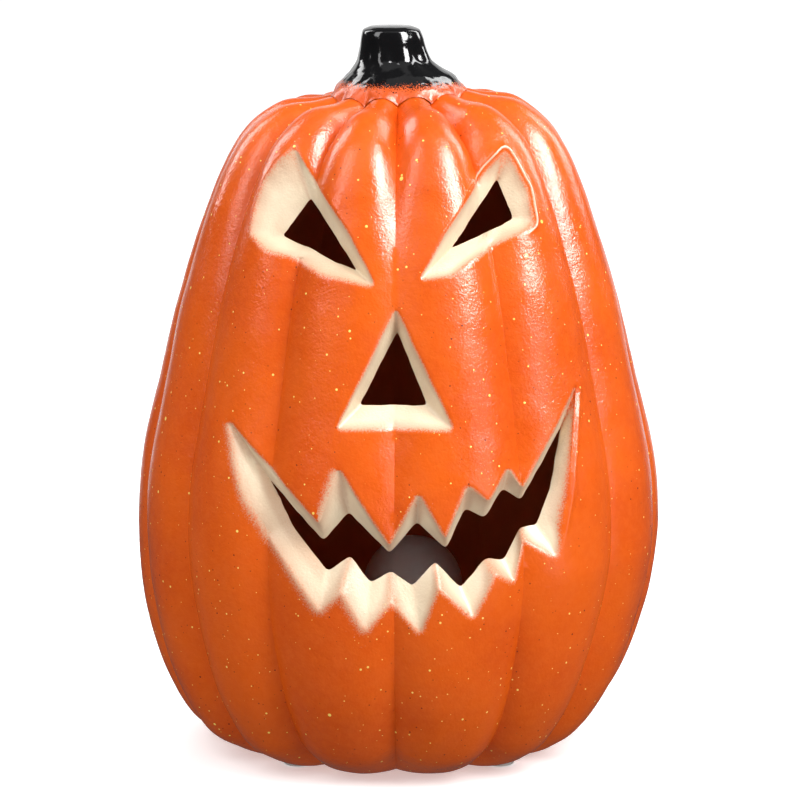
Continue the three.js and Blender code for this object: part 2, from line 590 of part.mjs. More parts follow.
SCREW_CIRCLE.angles.forEach((angle, i) => {
  const shape = {
    head: COVER_SCREW.head, z0: COVER_SCREW.headTop, z1: COVER.top + GAP,
    shank: COVER_SCREW.shank, end: COVER_SCREW.bottom,
  };
  add(`cover_screw_${i + 1}`, screw(shape, ...screwPlace(angle)), STEEL);
});

export default lantern;
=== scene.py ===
import math

import bmesh
import bpy
import numpy as np
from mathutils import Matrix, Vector, noise
from mathutils.geometry import delaunay_2d_cdt


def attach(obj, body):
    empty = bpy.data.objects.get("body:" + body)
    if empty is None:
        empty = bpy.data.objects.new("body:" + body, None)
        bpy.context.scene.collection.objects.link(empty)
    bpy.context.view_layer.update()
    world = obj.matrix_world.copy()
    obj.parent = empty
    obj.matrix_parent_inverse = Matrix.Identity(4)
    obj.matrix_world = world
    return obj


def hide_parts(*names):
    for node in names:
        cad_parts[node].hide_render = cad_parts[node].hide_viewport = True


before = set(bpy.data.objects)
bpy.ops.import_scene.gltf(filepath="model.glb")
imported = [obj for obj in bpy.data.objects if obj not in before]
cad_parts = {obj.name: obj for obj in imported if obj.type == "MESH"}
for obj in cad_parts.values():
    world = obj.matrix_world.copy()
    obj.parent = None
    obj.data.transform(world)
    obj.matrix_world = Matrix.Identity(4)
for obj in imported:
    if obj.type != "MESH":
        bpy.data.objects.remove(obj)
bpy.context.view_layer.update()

MM = 0.001

# ---- dimensions of the ware, in mm, as in the CAD model ----

LIFT = 0.8  # the pads hold the ware this far off the table
WALL = 7.0
# A lobe's crest from the foot to the crown: (radius, height, depth of the grooves beside it).
CREST = [
    (40, 1.8, 0), (46, 0.4, 0.8), (53, 0.2, 2), (63, 3.8, 4.5), (74.5, 12, 6), (85.3, 33, 6),
    (91.3, 63.5, 4.6), (91, 98, 4.3), (83.5, 133.5, 4.6), (76, 164.5, 5.1), (66.2, 194.6, 6.2),
    (56, 215.5, 7.2), (43, 226.5, 7.7), (30, 228.6, 5.5), (21, 230.4, 2.6), (9.3, 230.9, 0.6),
]
# Degrees from the front, positive to the right; the last one is the first again.
GROOVES = np.array([-1, 28.5, 57, 85, 110, 134, 158, 182, 206, 230, 254, 278, 304, 330, 359])
GROOVE_SHARPNESS = 2.3
# The grooves at the sides slant, the right flank is tucked in low down, and the crown's right
# side is the higher one.
SIDE_DRIFT, DRIFT_HEIGHT, DRIFT_SPAN = 8.0, 120.0, 100.0
TUCK, TUCK_HEIGHT, TUCK_FROM, TUCK_SPAN = 6.0, 75.0, 48.0, 25.0
LEAN, LEAN_HEIGHT, LEAN_SPAN = 1.0, 150.0, 75.0
INNER_WAVE = 0.5  # the grooves' depth inside, as a share of that outside
INNER_T = (4 / 15, 14 / 15)  # the part of the crest line that the inner face follows
CROWN_HEIGHT, CEILING_HEIGHT = 230.9, 223.7
RECESS_RADIUS, BASE_HOLE_RADIUS, FLOOR_RADIUS = 39.2, 33.4, 55.0
LEDGE_HEIGHT, FLOOR_HEIGHT = 7.2, 14.0
PAD_RING = 49.5

# The cuts, corner by corner: (x, z) on the outer face, then (x, z) on the inner face.
NOSE_CUT, LEFT_CUT, RIGHT_CUT, MOUTH_CUT = range(4)
NOSE = [(-1, 164.5, -0.5, 157), (18, 126.5, 9.5, 133), (-20.5, 126.5, -13, 133)]
LEFT_EYE = [
    (-35, 215, -29.5, 198.5), (-26.5, 202, -26, 194), (-18, 191, -21, 187), (-11.5, 179.5, -16, 179.5),
    (-8, 172.5, -14, 176.5), (-25.5, 176, -21.5, 179), (-34.5, 180, -28, 182), (-44.5, 182.5, -34.5, 184),
    (-50, 187, -39, 186), (-48.5, 195.5, -37, 188.5), (-45, 205, -34.5, 192), (-41, 210.5, -32, 195.5),
]
RIGHT_EYE = [
    (36, 214.5, 33, 205), (39.5, 209, 34.5, 201), (43.5, 201.5, 36.5, 196.5), (45.5, 190.5, 38.5, 191.5),
    (31, 184, 33, 189), (24, 180.5, 27.5, 187), (17.5, 176, 22, 185), (7, 174.5, 17.5, 183.5),
    (16.5, 190.5, 20.5, 187.5), (22.5, 198.5, 24.5, 193), (29.5, 208.5, 29, 199),
]
MOUTH = [
    (-57, 125.5, -43, 106.5), (-26.5, 95, -25, 88.5), (-20, 113.5, -16.5, 98.5), (-3, 87.5, -3, 84.5),
    (6.5, 105.5, 6, 95.5), (15.5, 90.5, 15.5, 86), (23, 108, 22, 99.5), (30, 102, 28.5, 95.5),
    (36.5, 112.5, 34.5, 105), (41.5, 104.5, 40.5, 100), (60, 136.5, 54.5, 122.5),
    (57.5, 106.5, 50.5, 102.5), (53, 81.5, 46, 91.5), (41.5, 88, 40.5, 91), (38.5, 74, 35, 80.5),
    (32, 78.5, 29, 82.5), (25, 63.5, 20.5, 72.5), (13, 75, 12, 82), (7, 58.5, 4.5, 73.5),
    (-2.5, 69.5, -2.5, 78.5), (-11, 60, -9.5, 74.5), (-19, 73.5, -16, 84), (-26.5, 66, -23.5, 78),
    (-42.5, 88, -35.5, 92.5), (-52, 102.5, -39.5, 100.5),
]

# ---- fineness of the meshes ----

LOBE_COLUMNS = 24
OUTER_ROWS, INNER_ROWS = 150, 52
OUTLINE_STEP = 0.8
SOFT_OUTER, SOFT_INNER = 5, 9  # smoothing passes along an outline
OUTER_WANDER, INNER_WANDER, BEVEL_WANDER = 0.25, 0.22, 0.12  # how far the knife strayed
WINDOW_ANGLE = 70.0  # the front panel that holds the face
WINDOW_LOW, WINDOW_HIGH = 45.0, 223.0
MM_PER_DEGREE = 1.55  # scale of the unrolled wall
BEVEL_ROWS = [0.0, 0.07, 0.16, 0.32, 0.5, 0.68, 0.84, 0.95, 1.0]
EVEN_PASSES = (60, 20, 20, 20)  # for each cut: evens its bevel out where that crosses a groove
T_STEP, TURN_STEP, NEWTON_STEPS = 1e-4, 0.01, 14


# ---- the lobed wall ----

def spline(points, t):
    """Catmull-Rom curve through points, for an array of t from 0 to 1."""
    points = np.asarray(points, float)
    spans = len(points) - 1
    t = np.clip(np.asarray(t, float), 0, 1) * spans
    i = np.minimum(t.astype(int), spans - 1)
    u = (t - i)[:, None]
    padded = np.vstack([2 * points[0] - points[1], points, 2 * points[-1] - points[-2]])
    a, b, c, d = (padded[i + k] for k in range(4))
    return 0.5 * (2 * b + (c - a) * u + (2 * a - 5 * b + 4 * c - d) * u**2
                  + (3 * b - a - 3 * c + d) * u**3)


def lobe_wave(angle):
    """0 on the crest of a lobe, rising to 1 in the grooves beside it."""
    turn = (angle - GROOVES[0]) % 360 + GROOVES[0]
    i = np.clip(np.searchsorted(GROOVES, turn, side="right") - 1, 0, len(GROOVES) - 2)
    across = 2 * (turn - GROOVES[i]) / (GROOVES[i + 1] - GROOVES[i]) - 1
    return np.abs(across) ** GROOVE_SHARPNESS


def wall_points(angle, t, inset=0.0, wave=1.0):
    """Points of the wall, with the angle in degrees from the front, positive to the right."""
    angle, t = np.broadcast_arrays(np.asarray(angle, float), np.asarray(t, float))
    line = spline(CREST, t)
    run = spline(CREST, t + T_STEP) - spline(CREST, t - T_STEP)
    run = run[:, :2] / np.hypot(run[:, 0], run[:, 1])[:, None]
    sink = line[:, 2] * wave * lobe_wave(angle) + inset
    r = line[:, 0] - sink * run[:, 1]
    z = line[:, 1] + sink * run[:, 0]
    side = np.sin(np.radians(angle))
    drift = np.sign(side) * side**4 * (line[:, 1] - DRIFT_HEIGHT) / DRIFT_SPAN
    around = np.radians(angle + SIDE_DRIFT * drift)
    right = np.sin(around)
    flank = np.clip((line[:, 0] - TUCK_FROM) / TUCK_SPAN, 0, 1)
    r = r - TUCK * flank * np.clip(right, 0, 1) ** 2 * np.clip(1 - z / TUCK_HEIGHT, 0, None)
    z = z + LEAN * right * np.clip((z - LEAN_HEIGHT) / LEAN_SPAN, 0, None) ** 2
    return np.stack([r * right, -r * np.cos(around), z + LIFT], 1)


FLANK_T = np.linspace(0.2, 0.85, 400)  # where the crest line rises all the way
FLANK_RADIUS, FLANK_HEIGHT = spline(CREST, FLANK_T)[:, :2].T


def height_t(z):
    """t where the crest line reaches a height, on the flank."""
    return np.interp(z, FLANK_HEIGHT, FLANK_T)


def front_place(x, z, inset, wave):
    """(angle, t) of the wall's points seen at (x, z) from the front, by Newton's method."""
    t = height_t(z)
    angle = np.degrees(np.arcsin(np.clip(x / np.interp(t, FLANK_T, FLANK_RADIUS), -1, 1)))
    for _ in range(NEWTON_STEPS):
        here = wall_points(angle, t, inset, wave)
        turned = (wall_points(angle + TURN_STEP, t, inset, wave) - here) / TURN_STEP
        raised = (wall_points(angle, t + T_STEP, inset, wave) - here) / T_STEP
        dx, dz = x - here[:, 0], z + LIFT - here[:, 2]
        det = turned[:, 0] * raised[:, 2] - raised[:, 0] * turned[:, 2]
        angle = angle + (dx * raised[:, 2] - raised[:, 0] * dz) / det
        t = t + (turned[:, 0] * dz - dx * turned[:, 2]) / det
    return angle, t


def lumps(points, size, seed):
    """Smooth noise from -1 to 1 at each point; size is the length of a lump in mm."""
    offset = Vector((seed * 13.7, seed * 7.3, seed * 3.1))
    return np.array([noise.noise(Vector(p) / size + offset) for p in points])


# ---- the slanted cuts of the face ----

def soften(values, passes):
    """Smooths values along a closed outline."""
    for _ in range(passes):
        values = (np.roll(values, 1, 0) + 2 * values + np.roll(values, -1, 0)) / 4
    return values


def cut_outline(corners, seed):
    """A cut's outer and inner outlines as (x, z) pairs point for point, and its corners' places."""
    corners = np.array(corners, float)
    rows, places = [], []
    for start, end in zip(corners, np.roll(corners, -1, 0)):
        count = max(2, math.ceil(math.hypot(*(end[:2] - start[:2])) / OUTLINE_STEP))
        places.append(len(rows))
        rows += [start + (end - start) * k / count for k in range(count)]
    rows = np.array(rows)
    outer, inner = soften(rows[:, :2], SOFT_OUTER), soften(rows[:, 2:], SOFT_INNER)
    area = np.sum(outer[:, 0] * np.roll(outer[:, 1], -1) - np.roll(outer[:, 0], -1) * outer[:, 1])
    along = np.roll(outer, -1, 0) - np.roll(outer, 1, 0)
    along /= np.linalg.norm(along, axis=1)[:, None]
    away = np.stack([along[:, 1], -along[:, 0]], 1) * np.sign(area)
    flat = np.column_stack([outer, np.zeros(len(outer))])
    outer = outer + away * OUTER_WANDER * lumps(flat, 9, seed)[:, None]
    inner = inner + away * INNER_WANDER * lumps(flat, 6, seed + 5)[:, None]
    return outer, inner, away, places


def inside_polygon(points, polygon):
    x, y = points[:, 0:1], points[:, 1:2]
    x0, y0 = polygon[:, 0], polygon[:, 1]
    x1, y1 = np.roll(x0, -1), np.roll(y0, -1)
    rise = np.where(y1 == y0, 1e-12, y1 - y0)
    crosses = ((y0 > y) != (y1 > y)) & (x < (x1 - x0) * (y - y0) / rise + x0)
    return crosses.sum(1) % 2 == 1


def unroll(angle, t):
    """The wall laid flat, in mm."""
    return np.stack([angle * MM_PER_DEGREE, length_at(t)], 1)


ARC_T = np.linspace(0, 1, 2000)
ARC_LENGTH = np.concatenate([
    [0], np.cumsum(np.hypot(*np.diff(spline(CREST, ARC_T)[:, :2], axis=0).T))])


def length_at(t):
    return np.interp(t, ARC_T, ARC_LENGTH)


def t_at(length):
    return np.interp(length, ARC_LENGTH, ARC_T)


def ramp(x, start, end):
    """0 at start, 1 at end, smooth between them."""
    u = np.clip((x - start) / (end - start), 0, 1)
    return u * u * (3 - 2 * u)


TOP_REACH = 5.0
# How far the cream is sprayed past the edges of each cut: at least, and more below, left and right.
SPRAY = [(0.35, 0.9, 0.3, 0.4), (0.35, 0.9, 1.9, 0.3), (0.35, 0.7, 0.3, 0.8), (0.35, 1.2, 1.0, 0.6)]


def spray_line(number, outer, away):
    """Along an outline: how soft the cream's edge is, how far it is moved, and a bead's height."""
    x, z = outer.T
    down, left, right = (np.clip(v, 0, 1) for v in (-away[:, 1], -away[:, 0], away[:, 0]))
    least, below, beside, other = SPRAY[number]
    spray = least + below * down + beside * left + other * right
    shift = np.full(len(x), -0.2)
    bead = np.zeros(len(x))
    if number == RIGHT_CUT:  # a bead round its upper right
        bead = 0.75 * np.maximum(ramp(z, 199, 206), ramp(x, 40, 43) * ramp(z, 188, 192))
        shift = shift + 0.5 * bead
        spray = spray + 0.5 * bead
    if number == MOUTH_CUT:  # heavy spray at the lower left, and past the right edge
        lower_left = ramp(-x, -2, 12) * ramp(down + left, 0.5, 0.9)
        spray = spray + 1.1 * lower_left
        shift = shift - 0.9 * lower_left
        edge = ramp(x, 50, 55) * ramp(z, 84, 92)
        bead = 0.35 * edge * right
        shift = shift + 2.0 * edge * right
        spray = spray + 1.1 * edge * right
    return spray, shift, bead


def painted_top_shade(outer, places):
    """Painted shade: 1 at the narrow tops of a cut, where shade gathers, fading to 0 around them."""
    z = outer[places, 1]
    tops = outer[places][(z > np.roll(z, 1)) & (z > np.roll(z, -1))]
    gap = np.linalg.norm(outer[:, None, :] - tops[None], axis=2).min(1)
    return np.exp(-((gap / TOP_REACH) ** 2))


def shaded_flank(number, outer, away):
    """Painted shade deep in the left flanks, laid on as thinner, darker cream: how much along the outline.
    """
    left = ramp(-away[:, 0], 0.4, 0.9)
    return {LEFT_CUT: 0.6, MOUTH_CUT: 0.9}.get(number, 0.0) * left * ramp(-outer[:, 0], 20, 30)


class Cut:
    """One opening: its bevel from the outer outline to the inner one."""

    def __init__(self, corners, number):
        outer, inner, away, self.places = cut_outline(corners, number)
        self.away, self.even_passes = away, EVEN_PASSES[number]
        self.outer_angle, self.outer_t = front_place(outer[:, 0], outer[:, 1], 0.0, 1.0)
        edge_angle, edge_t = front_place(inner[:, 0], inner[:, 1], 0.0, 1.0)
        self.inner_angle, self.inner_t = front_place(inner[:, 0], inner[:, 1], WALL, INNER_WAVE)
        self.outer_flat = unroll(self.outer_angle, self.outer_t)
        self.edge_flat = unroll(edge_angle, edge_t)
        self.inner_flat = unroll(self.inner_angle, self.inner_t)
        self.inner_points = wall_points(self.inner_angle, self.inner_t, WALL, INNER_WAVE)
        self.bevel = np.linalg.norm(outer - inner, axis=1)
        self.spray, self.shift, self.bead = spray_line(number, outer, away)
        self.top_shade = painted_top_shade(outer, self.places)
        self.shaded = shaded_flank(number, outer, away)


CUTS = [Cut(corners, number) for number, corners in enumerate([NOSE, LEFT_EYE, RIGHT_EYE, MOUTH])]

# ---- meshes ----

def add_object(name, data):
    added = bpy.data.objects.new(name, data)
    bpy.context.scene.collection.objects.link(added)
    return added


def new_mesh(name, points_mm, faces, smooth_angle=40.0):
    mesh = bpy.data.meshes.new(name)
    mesh.from_pydata((np.asarray(points_mm) * MM).tolist(), [], [tuple(map(int, f)) for f in faces])
    mesh.update()
    mesh.polygons.foreach_set("use_smooth", np.ones(len(mesh.polygons), bool))
    mesh.set_sharp_from_angle(angle=math.radians(smooth_angle))
    return add_object(name, mesh)


COLUMNS = np.concatenate([
    np.linspace(a, b, LOBE_COLUMNS, endpoint=False) for a, b in zip(GROOVES[:-1], GROOVES[1:])])
OUTSIDE, INSIDE = 0, 1  # kinds of face: glazed, and bare clay, which is turned over
# The cream's place is below 0 where it covers, and grows away from the spray's edge.
NO_CREAM, CREAM_LIMIT = 50.0, 9.0


class Sheet:
    """Vertices and faces of the shell, gathered piece by piece."""

    def __init__(self):
        self.points, self.faces, self.kinds = [], [], []
        self.cut, self.flat = [], []
        self.count = 0

    def add(self, points, cut=NO_CREAM, flat=None):
        n = len(points)
        self.points.append(np.asarray(points, float))
        self.cut.append(np.broadcast_to(np.asarray(cut, float), (n,)))
        self.flat.append(np.zeros((n, 2)) if flat is None else flat)
        self.count += n
        return np.arange(self.count - n, self.count)

    def face(self, faces, kind):
        self.faces += faces
        self.kinds += [kind] * len(faces)


def quads(rows):
    """Faces between successive rings of vertex numbers."""
    faces = []
    for low, high in zip(rows[:-1], rows[1:]):
        faces += zip(low, np.roll(low, -1), np.roll(high, -1), high)
    return faces


def triangulate(flat, edges):
    """Delaunay triangles over points that keep the given edges."""
    points = [Vector(p) for p in flat]
    verts, _, faces, origins, _, _ = delaunay_2d_cdt(points, edges, [], 0, 1e-5)
    lost = [i for i, origin in enumerate(origins) if not origin]
    if lost:
        raise ValueError(f"{len(lost)} edges of the face's outlines cross")
    lookup = [origin[0] for origin in origins]
    return [[lookup[v] for v in face] for face in faces]


def loop_edges(numbers):
    return list(zip(numbers, np.roll(numbers, -1)))


def signed_angle(angle):
    return (angle + 180) % 360 - 180


CHUNK = 2000  # points handled at a time, to save memory


def nearest_outline(flat):
    """Distance from unrolled points to the nearest outer outline, the cream's place and the bead."""
    outline = np.vstack([cut.outer_flat for cut in CUTS])
    spray, shift, bead = (
        np.concatenate([getattr(cut, kind) for cut in CUTS]) for kind in ("spray", "shift", "bead"))
    distance = np.empty(len(flat))
    nearest = np.empty(len(flat), int)
    for start in range(0, len(flat), CHUNK):
        part = slice(start, start + CHUNK)
        gap = np.linalg.norm(flat[part, None, :] - outline[None], axis=2)
        nearest[part] = gap.argmin(1)
        distance[part] = gap.min(1)
    return distance, (distance + shift[nearest]) / spray[nearest], bead[nearest]


LIP_WIDTH, LIP_DROP = 1.6, 0.5  # how the glaze rolls over into a cut
UNDERCUT_SHADE = 0.78  # painted shade: the faces of a cut that look down get this much less cream, so they show darker, for the shade under the edge
TOP_SHADE = 0.95  # painted shade at the narrow tops too, the same way
BEAD_PLACE, BEAD_WIDTH = 1.9, 0.6  # a raised line beside a cut: its distance and half width
# Between the eyes the middle groove is shallower: by how much at these heights, and how widely.
BROW_HEIGHTS = (138, 144, 151, 158, 172, 180, 187, 194, 206, 212, 218)
BROW_FILL = (0, 0.4, 1.3, 2.0, 2.7, 2.6, 1.9, 1.3, 0.9, 0.5, 0)
BROW_ANGLE = 5.0
UNEVEN = ((0.32, 22, 1), (0.14, 8, 2))  # depth and length of the lumps, and their seed
RINGS = (0.3, 0.7, 1.15, 1.65, 2.1, 2.6)  # rows of points round a cut, by their distance
BEAD_RINGS = (1.65, 2.1)  # these lie on a bead, and take cream as a painted highlight along its crest
RING_GAP, INNER_GAP = 0.5, 0.6  # kept clear of the wall's own points
RING_SHARE = 0.85  # a ring is left out where another part of the outline is nearer than this
BEAD_HIGHLIGHT = 0.5  # a bead this high takes cream, a painted highlight along its crest


def glazed_points(angle, t, distance, bead):
    """Points of the outer face: hand-made unevenness, and the lip rolling over into a cut."""
    angle, t = np.broadcast_arrays(np.asarray(angle, float), np.asarray(t, float))
    plain = wall_points(angle, t)
    lip = LIP_DROP * np.clip(1 - distance / LIP_WIDTH, 0, 1) ** 2
    rise = bead * np.exp(-(((distance - BEAD_PLACE) / BEAD_WIDTH) ** 2))
    uneven = sum(depth * lumps(plain, size, seed) for depth, size, seed in UNEVEN)
    fill = np.interp(plain[:, 2], BROW_HEIGHTS, BROW_FILL)
    uneven = uneven + fill * np.exp(-np.abs(signed_angle(angle) - GROOVES[0]) / BROW_ANGLE)
    return wall_points(angle, t, inset=lip - rise - uneven)


def bevel(cut):
    """Rows of a cut's bevel, from the lip inwards: points, the cream's place, unrolled places."""
    lip, inner = glazed_points(cut.outer_angle, cut.outer_t, 0.0, cut.bead), cut.inner_points
    even_lip, even_inner = lip.copy(), inner.copy()
    even_lip[:, 1] = soften(lip[:, 1], cut.even_passes)
    even_inner[:, 1] = soften(inner[:, 1], cut.even_passes)
    # painted shade: down-facing faces, narrow tops and deep left flanks get less cream depth, so they show
    # the darker thin cream
    painted_shade = np.maximum(UNDERCUT_SHADE * ramp(cut.away[:, 1], 0.3, 0.9), TOP_SHADE * cut.top_shade)
    for f in BEVEL_ROWS:
        even = ramp(f, 0, 0.5) * ramp(f, 1, 0.6)
        start = lip + (even_lip - lip) * even
        points = start + (inner + (even_inner - inner) * even - start) * f
        if 0 < f < 1:
            points = points + BEVEL_WANDER * math.sin(math.pi * f) * lumps(points, 5, 9)[:, None]
        depth = f * cut.bevel * (1 - np.maximum(painted_shade, cut.shaded * ramp(f, 0.35, 0.75)))
        yield points, (cut.shift - depth) / cut.spray, cut.outer_flat + (cut.edge_flat - cut.outer_flat) * f


def window_grid(grid, flat, side, tall):
    """Numbers and unrolled places of the grid's points in the window, and which are on its rim."""
    rows, cols = np.where(tall)[0], np.where(side)[0]
    order = cols[np.argsort(signed_angle(COLUMNS[cols]))]
    numbers = np.array([grid[i][order] for i in rows])
    rim = np.zeros(numbers.shape, bool)
    rim[0] = rim[-1] = rim[:, 0] = rim[:, -1] = True
    return numbers.ravel(), np.vstack([flat[i][order] for i in rows]), rim.ravel()


def fill_window(sheet, numbers, place, edges, holes, kind):
    """Triangles over the window's points, except in the holes."""
    numbers, place = np.array(numbers), np.vstack(place)
    faces = triangulate(place, [(int(a), int(b)) for a, b in edges])
    middle = np.array([place[face].mean(0) for face in faces])
    gone = np.any([inside_polygon(middle, hole) for hole in holes], axis=0)
    order = -1 if kind == INSIDE else 1
    sheet.face([tuple(numbers[f])[::order] for f, out in zip(faces, gone) if not out], kind)


def outer_window(sheet, numbers, place, rim):
    """The front of the outer face, with the openings' bevels, triangulated to their outlines."""
    buried = np.any([inside_polygon(place, cut.outer_flat) for cut in CUTS], axis=0)
    keep = rim | ((nearest_outline(place)[0] > RINGS[-1] + RING_GAP) & ~buried)
    numbers, place, edges = list(numbers[keep]), [place[keep]], []
    for cut in CUTS:
        for away in RINGS:
            ring = cut.outer_flat + cut.away * away
            gap, cream, bead = nearest_outline(ring)
            clear = gap > RING_SHARE * away
            angle, t = ring[clear, 0] / MM_PER_DEGREE, t_at(ring[clear, 1])
            points = glazed_points(angle, t, gap[clear], bead[clear])
            # painted highlight: cream on the bead's rings stands in for the line of light along the raised
            # lip
            if away in BEAD_RINGS:
                cream = np.where(bead > BEAD_HIGHLIGHT, -bead, cream)
            numbers += list(sheet.add(points, cream[clear], ring[clear]))
            place.append(ring[clear])
        rows = []
        for points, cream, ring in bevel(cut):
            cut.inner_numbers = sheet.add(points, cream, ring)
            rows.append(np.arange(len(ring)) + len(numbers))
            numbers += list(cut.inner_numbers)
            place.append(ring)
        edges += loop_edges(rows[0]) + loop_edges(rows[-1])
        for corner in cut.places:
            edges += [(a[corner], b[corner]) for a, b in zip(rows[:-1], rows[1:])]
    fill_window(sheet, numbers, place, edges, [cut.edge_flat for cut in CUTS], OUTSIDE)


def inner_window(sheet, numbers, place, rim):
    """The front of the inner face, triangulated to the inner outlines."""
    keep = np.ones(len(place), bool)
    for cut in CUTS:
        near = np.linalg.norm(place[:, None, :] - cut.inner_flat[None], axis=2).min(1)
        keep &= (near > INNER_GAP) & ~inside_polygon(place, cut.inner_flat)
    keep |= rim
    numbers, place, edges = list(numbers[keep]), [place[keep]], []
    for cut in CUTS:
        edges += loop_edges(np.arange(len(cut.inner_numbers)) + len(numbers))
        numbers += list(cut.inner_numbers)
        place.append(cut.inner_flat)
    fill_window(sheet, numbers, place, edges, [cut.inner_flat for cut in CUTS], INSIDE)


def wall_rows(sheet, lengths, make):
    """Rows of the wall over every column; gives vertex numbers and unrolled places."""
    grid, flat = [], []
    for length in lengths:
        place = np.stack([signed_angle(COLUMNS) * MM_PER_DEGREE, np.full(len(COLUMNS), length)], 1)
        points, cream = make(COLUMNS, np.full(len(COLUMNS), float(t_at(length))), place)
        grid.append(sheet.add(points, cream, place))
        flat.append(place)
    return grid, flat


def wall_quads(sheet, grid, side, tall, kind):
    """Quads of the grid outside the window."""
    for i, (low, high) in enumerate(zip(grid[:-1], grid[1:])):
        for j in range(len(low)):
            k = (j + 1) % len(low)
            if not (side[j] and side[k] and tall[i] and tall[i + 1]):
                face = (low[j], low[k], high[k], high[j])
                sheet.face([face[::-1] if kind == INSIDE else face], kind)


def add_face(sheet, lengths, make, fill_front, cap_height, kind):
    """One face of the wall: the grid, its front with the cuts, and the cap over its last row."""
    low, high = (length_at(height_t(z)) for z in (WINDOW_LOW, WINDOW_HIGH))
    side = np.abs(signed_angle(COLUMNS)) <= WINDOW_ANGLE
    tall = (lengths >= low) & (lengths <= high)
    grid, flat = wall_rows(sheet, lengths, make)
    wall_quads(sheet, grid, side, tall, kind)
    fill_front(sheet, *window_grid(grid, flat, side, tall))
    cap = sheet.add([(0, 0, cap_height + LIFT)])[0]
    rim = loop_edges(grid[-1])
    sheet.face([(b, a, cap) if kind == INSIDE else (a, b, cap) for a, b in rim], kind)
    return grid


def circle(angles, radius, z, middle=0.0):
    """Points round Z at these angles, in degrees from the front; middle moves them along X."""
    around = np.radians(angles)
    x, y = middle + radius * np.sin(around), -radius * np.cos(around)
    return np.stack([x, y, np.full(len(around), z)], 1)


def outer_make(angle, t, place):
    distance, cream, bead = nearest_outline(place)
    return glazed_points(angle, t, distance, bead), cream


def inner_make(angle, t, place):
    return wall_points(angle, t, WALL, INNER_WAVE), NO_CREAM


def build_body():
    """The whole shell: outer face, cuts, inner face and foot."""
    sheet = Sheet()
    lengths = np.linspace(0, ARC_LENGTH[-1], OUTER_ROWS)
    outer = add_face(sheet, lengths, outer_make, outer_window, CROWN_HEIGHT, OUTSIDE)
    lengths = np.linspace(*(length_at(t) for t in INNER_T), INNER_ROWS)
    inner = add_face(sheet, lengths, inner_make, inner_window, CEILING_HEIGHT, INSIDE)
    rings = [(RECESS_RADIUS, LEDGE_HEIGHT), (BASE_HOLE_RADIUS, LEDGE_HEIGHT),
             (BASE_HOLE_RADIUS, FLOOR_HEIGHT), (FLOOR_RADIUS, FLOOR_HEIGHT)]
    foot = [outer[0]] + [sheet.add(circle(COLUMNS, r, z)) for r, z in rings] + [inner[0]]
    sheet.face([face[::-1] for face in quads(foot)], INSIDE)

    piece = new_mesh("pumpkin_shell", np.vstack(sheet.points), sheet.faces)
    mesh = piece.data
    mesh.polygons.foreach_set("material_index", np.array(sheet.kinds, np.int32))
    cream = mesh.attributes.new("cream", "FLOAT", "POINT")
    cream.data.foreach_set("value", np.clip(np.concatenate(sheet.cut), -CREAM_LIMIT, CREAM_LIMIT))
    layer = mesh.uv_layers.new(name="wall")
    corners = np.empty(len(mesh.loops), np.int32)
    mesh.loops.foreach_get("vertex_index", corners)
    layer.data.foreach_set("uv", (np.vstack(sheet.flat)[corners] * MM * 10).ravel())
    return piece


# ---- stem ----

# Flank from the collar to the tip: (radius, height, depth of the flutes, x of the middle).
STEM = [
    (22.0, 232.3, 0.2, 0.3), (20.7, 233.7, 0.5, 0.3), (18.3, 236.4, 0.9, 0.4), (15.6, 238.6, 1.2, -0.7),
    (13.3, 240.8, 1.3, -1.6), (12.3, 243, 1.1, -1.9), (11.5, 246, 0.7, -2.1), (11.0, 248.6, 0.35, -2.3),
    (10.4, 250.6, 0.2, -2.5), (9.6, 251.8, 0.1, -2.6), (7.3, 252.7, 0.05, -2.7),
]
STEM_TIP = (-2.7, 253.0)
FLUTES, FLUTE_TURN = 8, 2.4
COLLAR_GAP = 0.15
COLLAR_ROWS = (1, 14.6 / 15, 14.2 / 15, 13.7 / 15)
COLLAR_WAVE = 0.85  # the collar's edge dips a little less into the grooves than the crown does
COLLAR_LIP = ((1.001, 0.1), (0.997, 0.28), (0.987, 0.62), (0.97, 1.1))  # share of the edge, rise
STEM_ROWS, COLLAR_STEPS = 66, 10
STEM_WANDER, STEM_TWIST, STEM_WAIST = 0.12, 0.008, 240.0  # radians, radians per mm, a height
SWELL, GRIT, COLLAR_GRIT = 0.22, 0.03, 0.2
GRIT_FROM, GRIT_TO = 239.0, 235.0


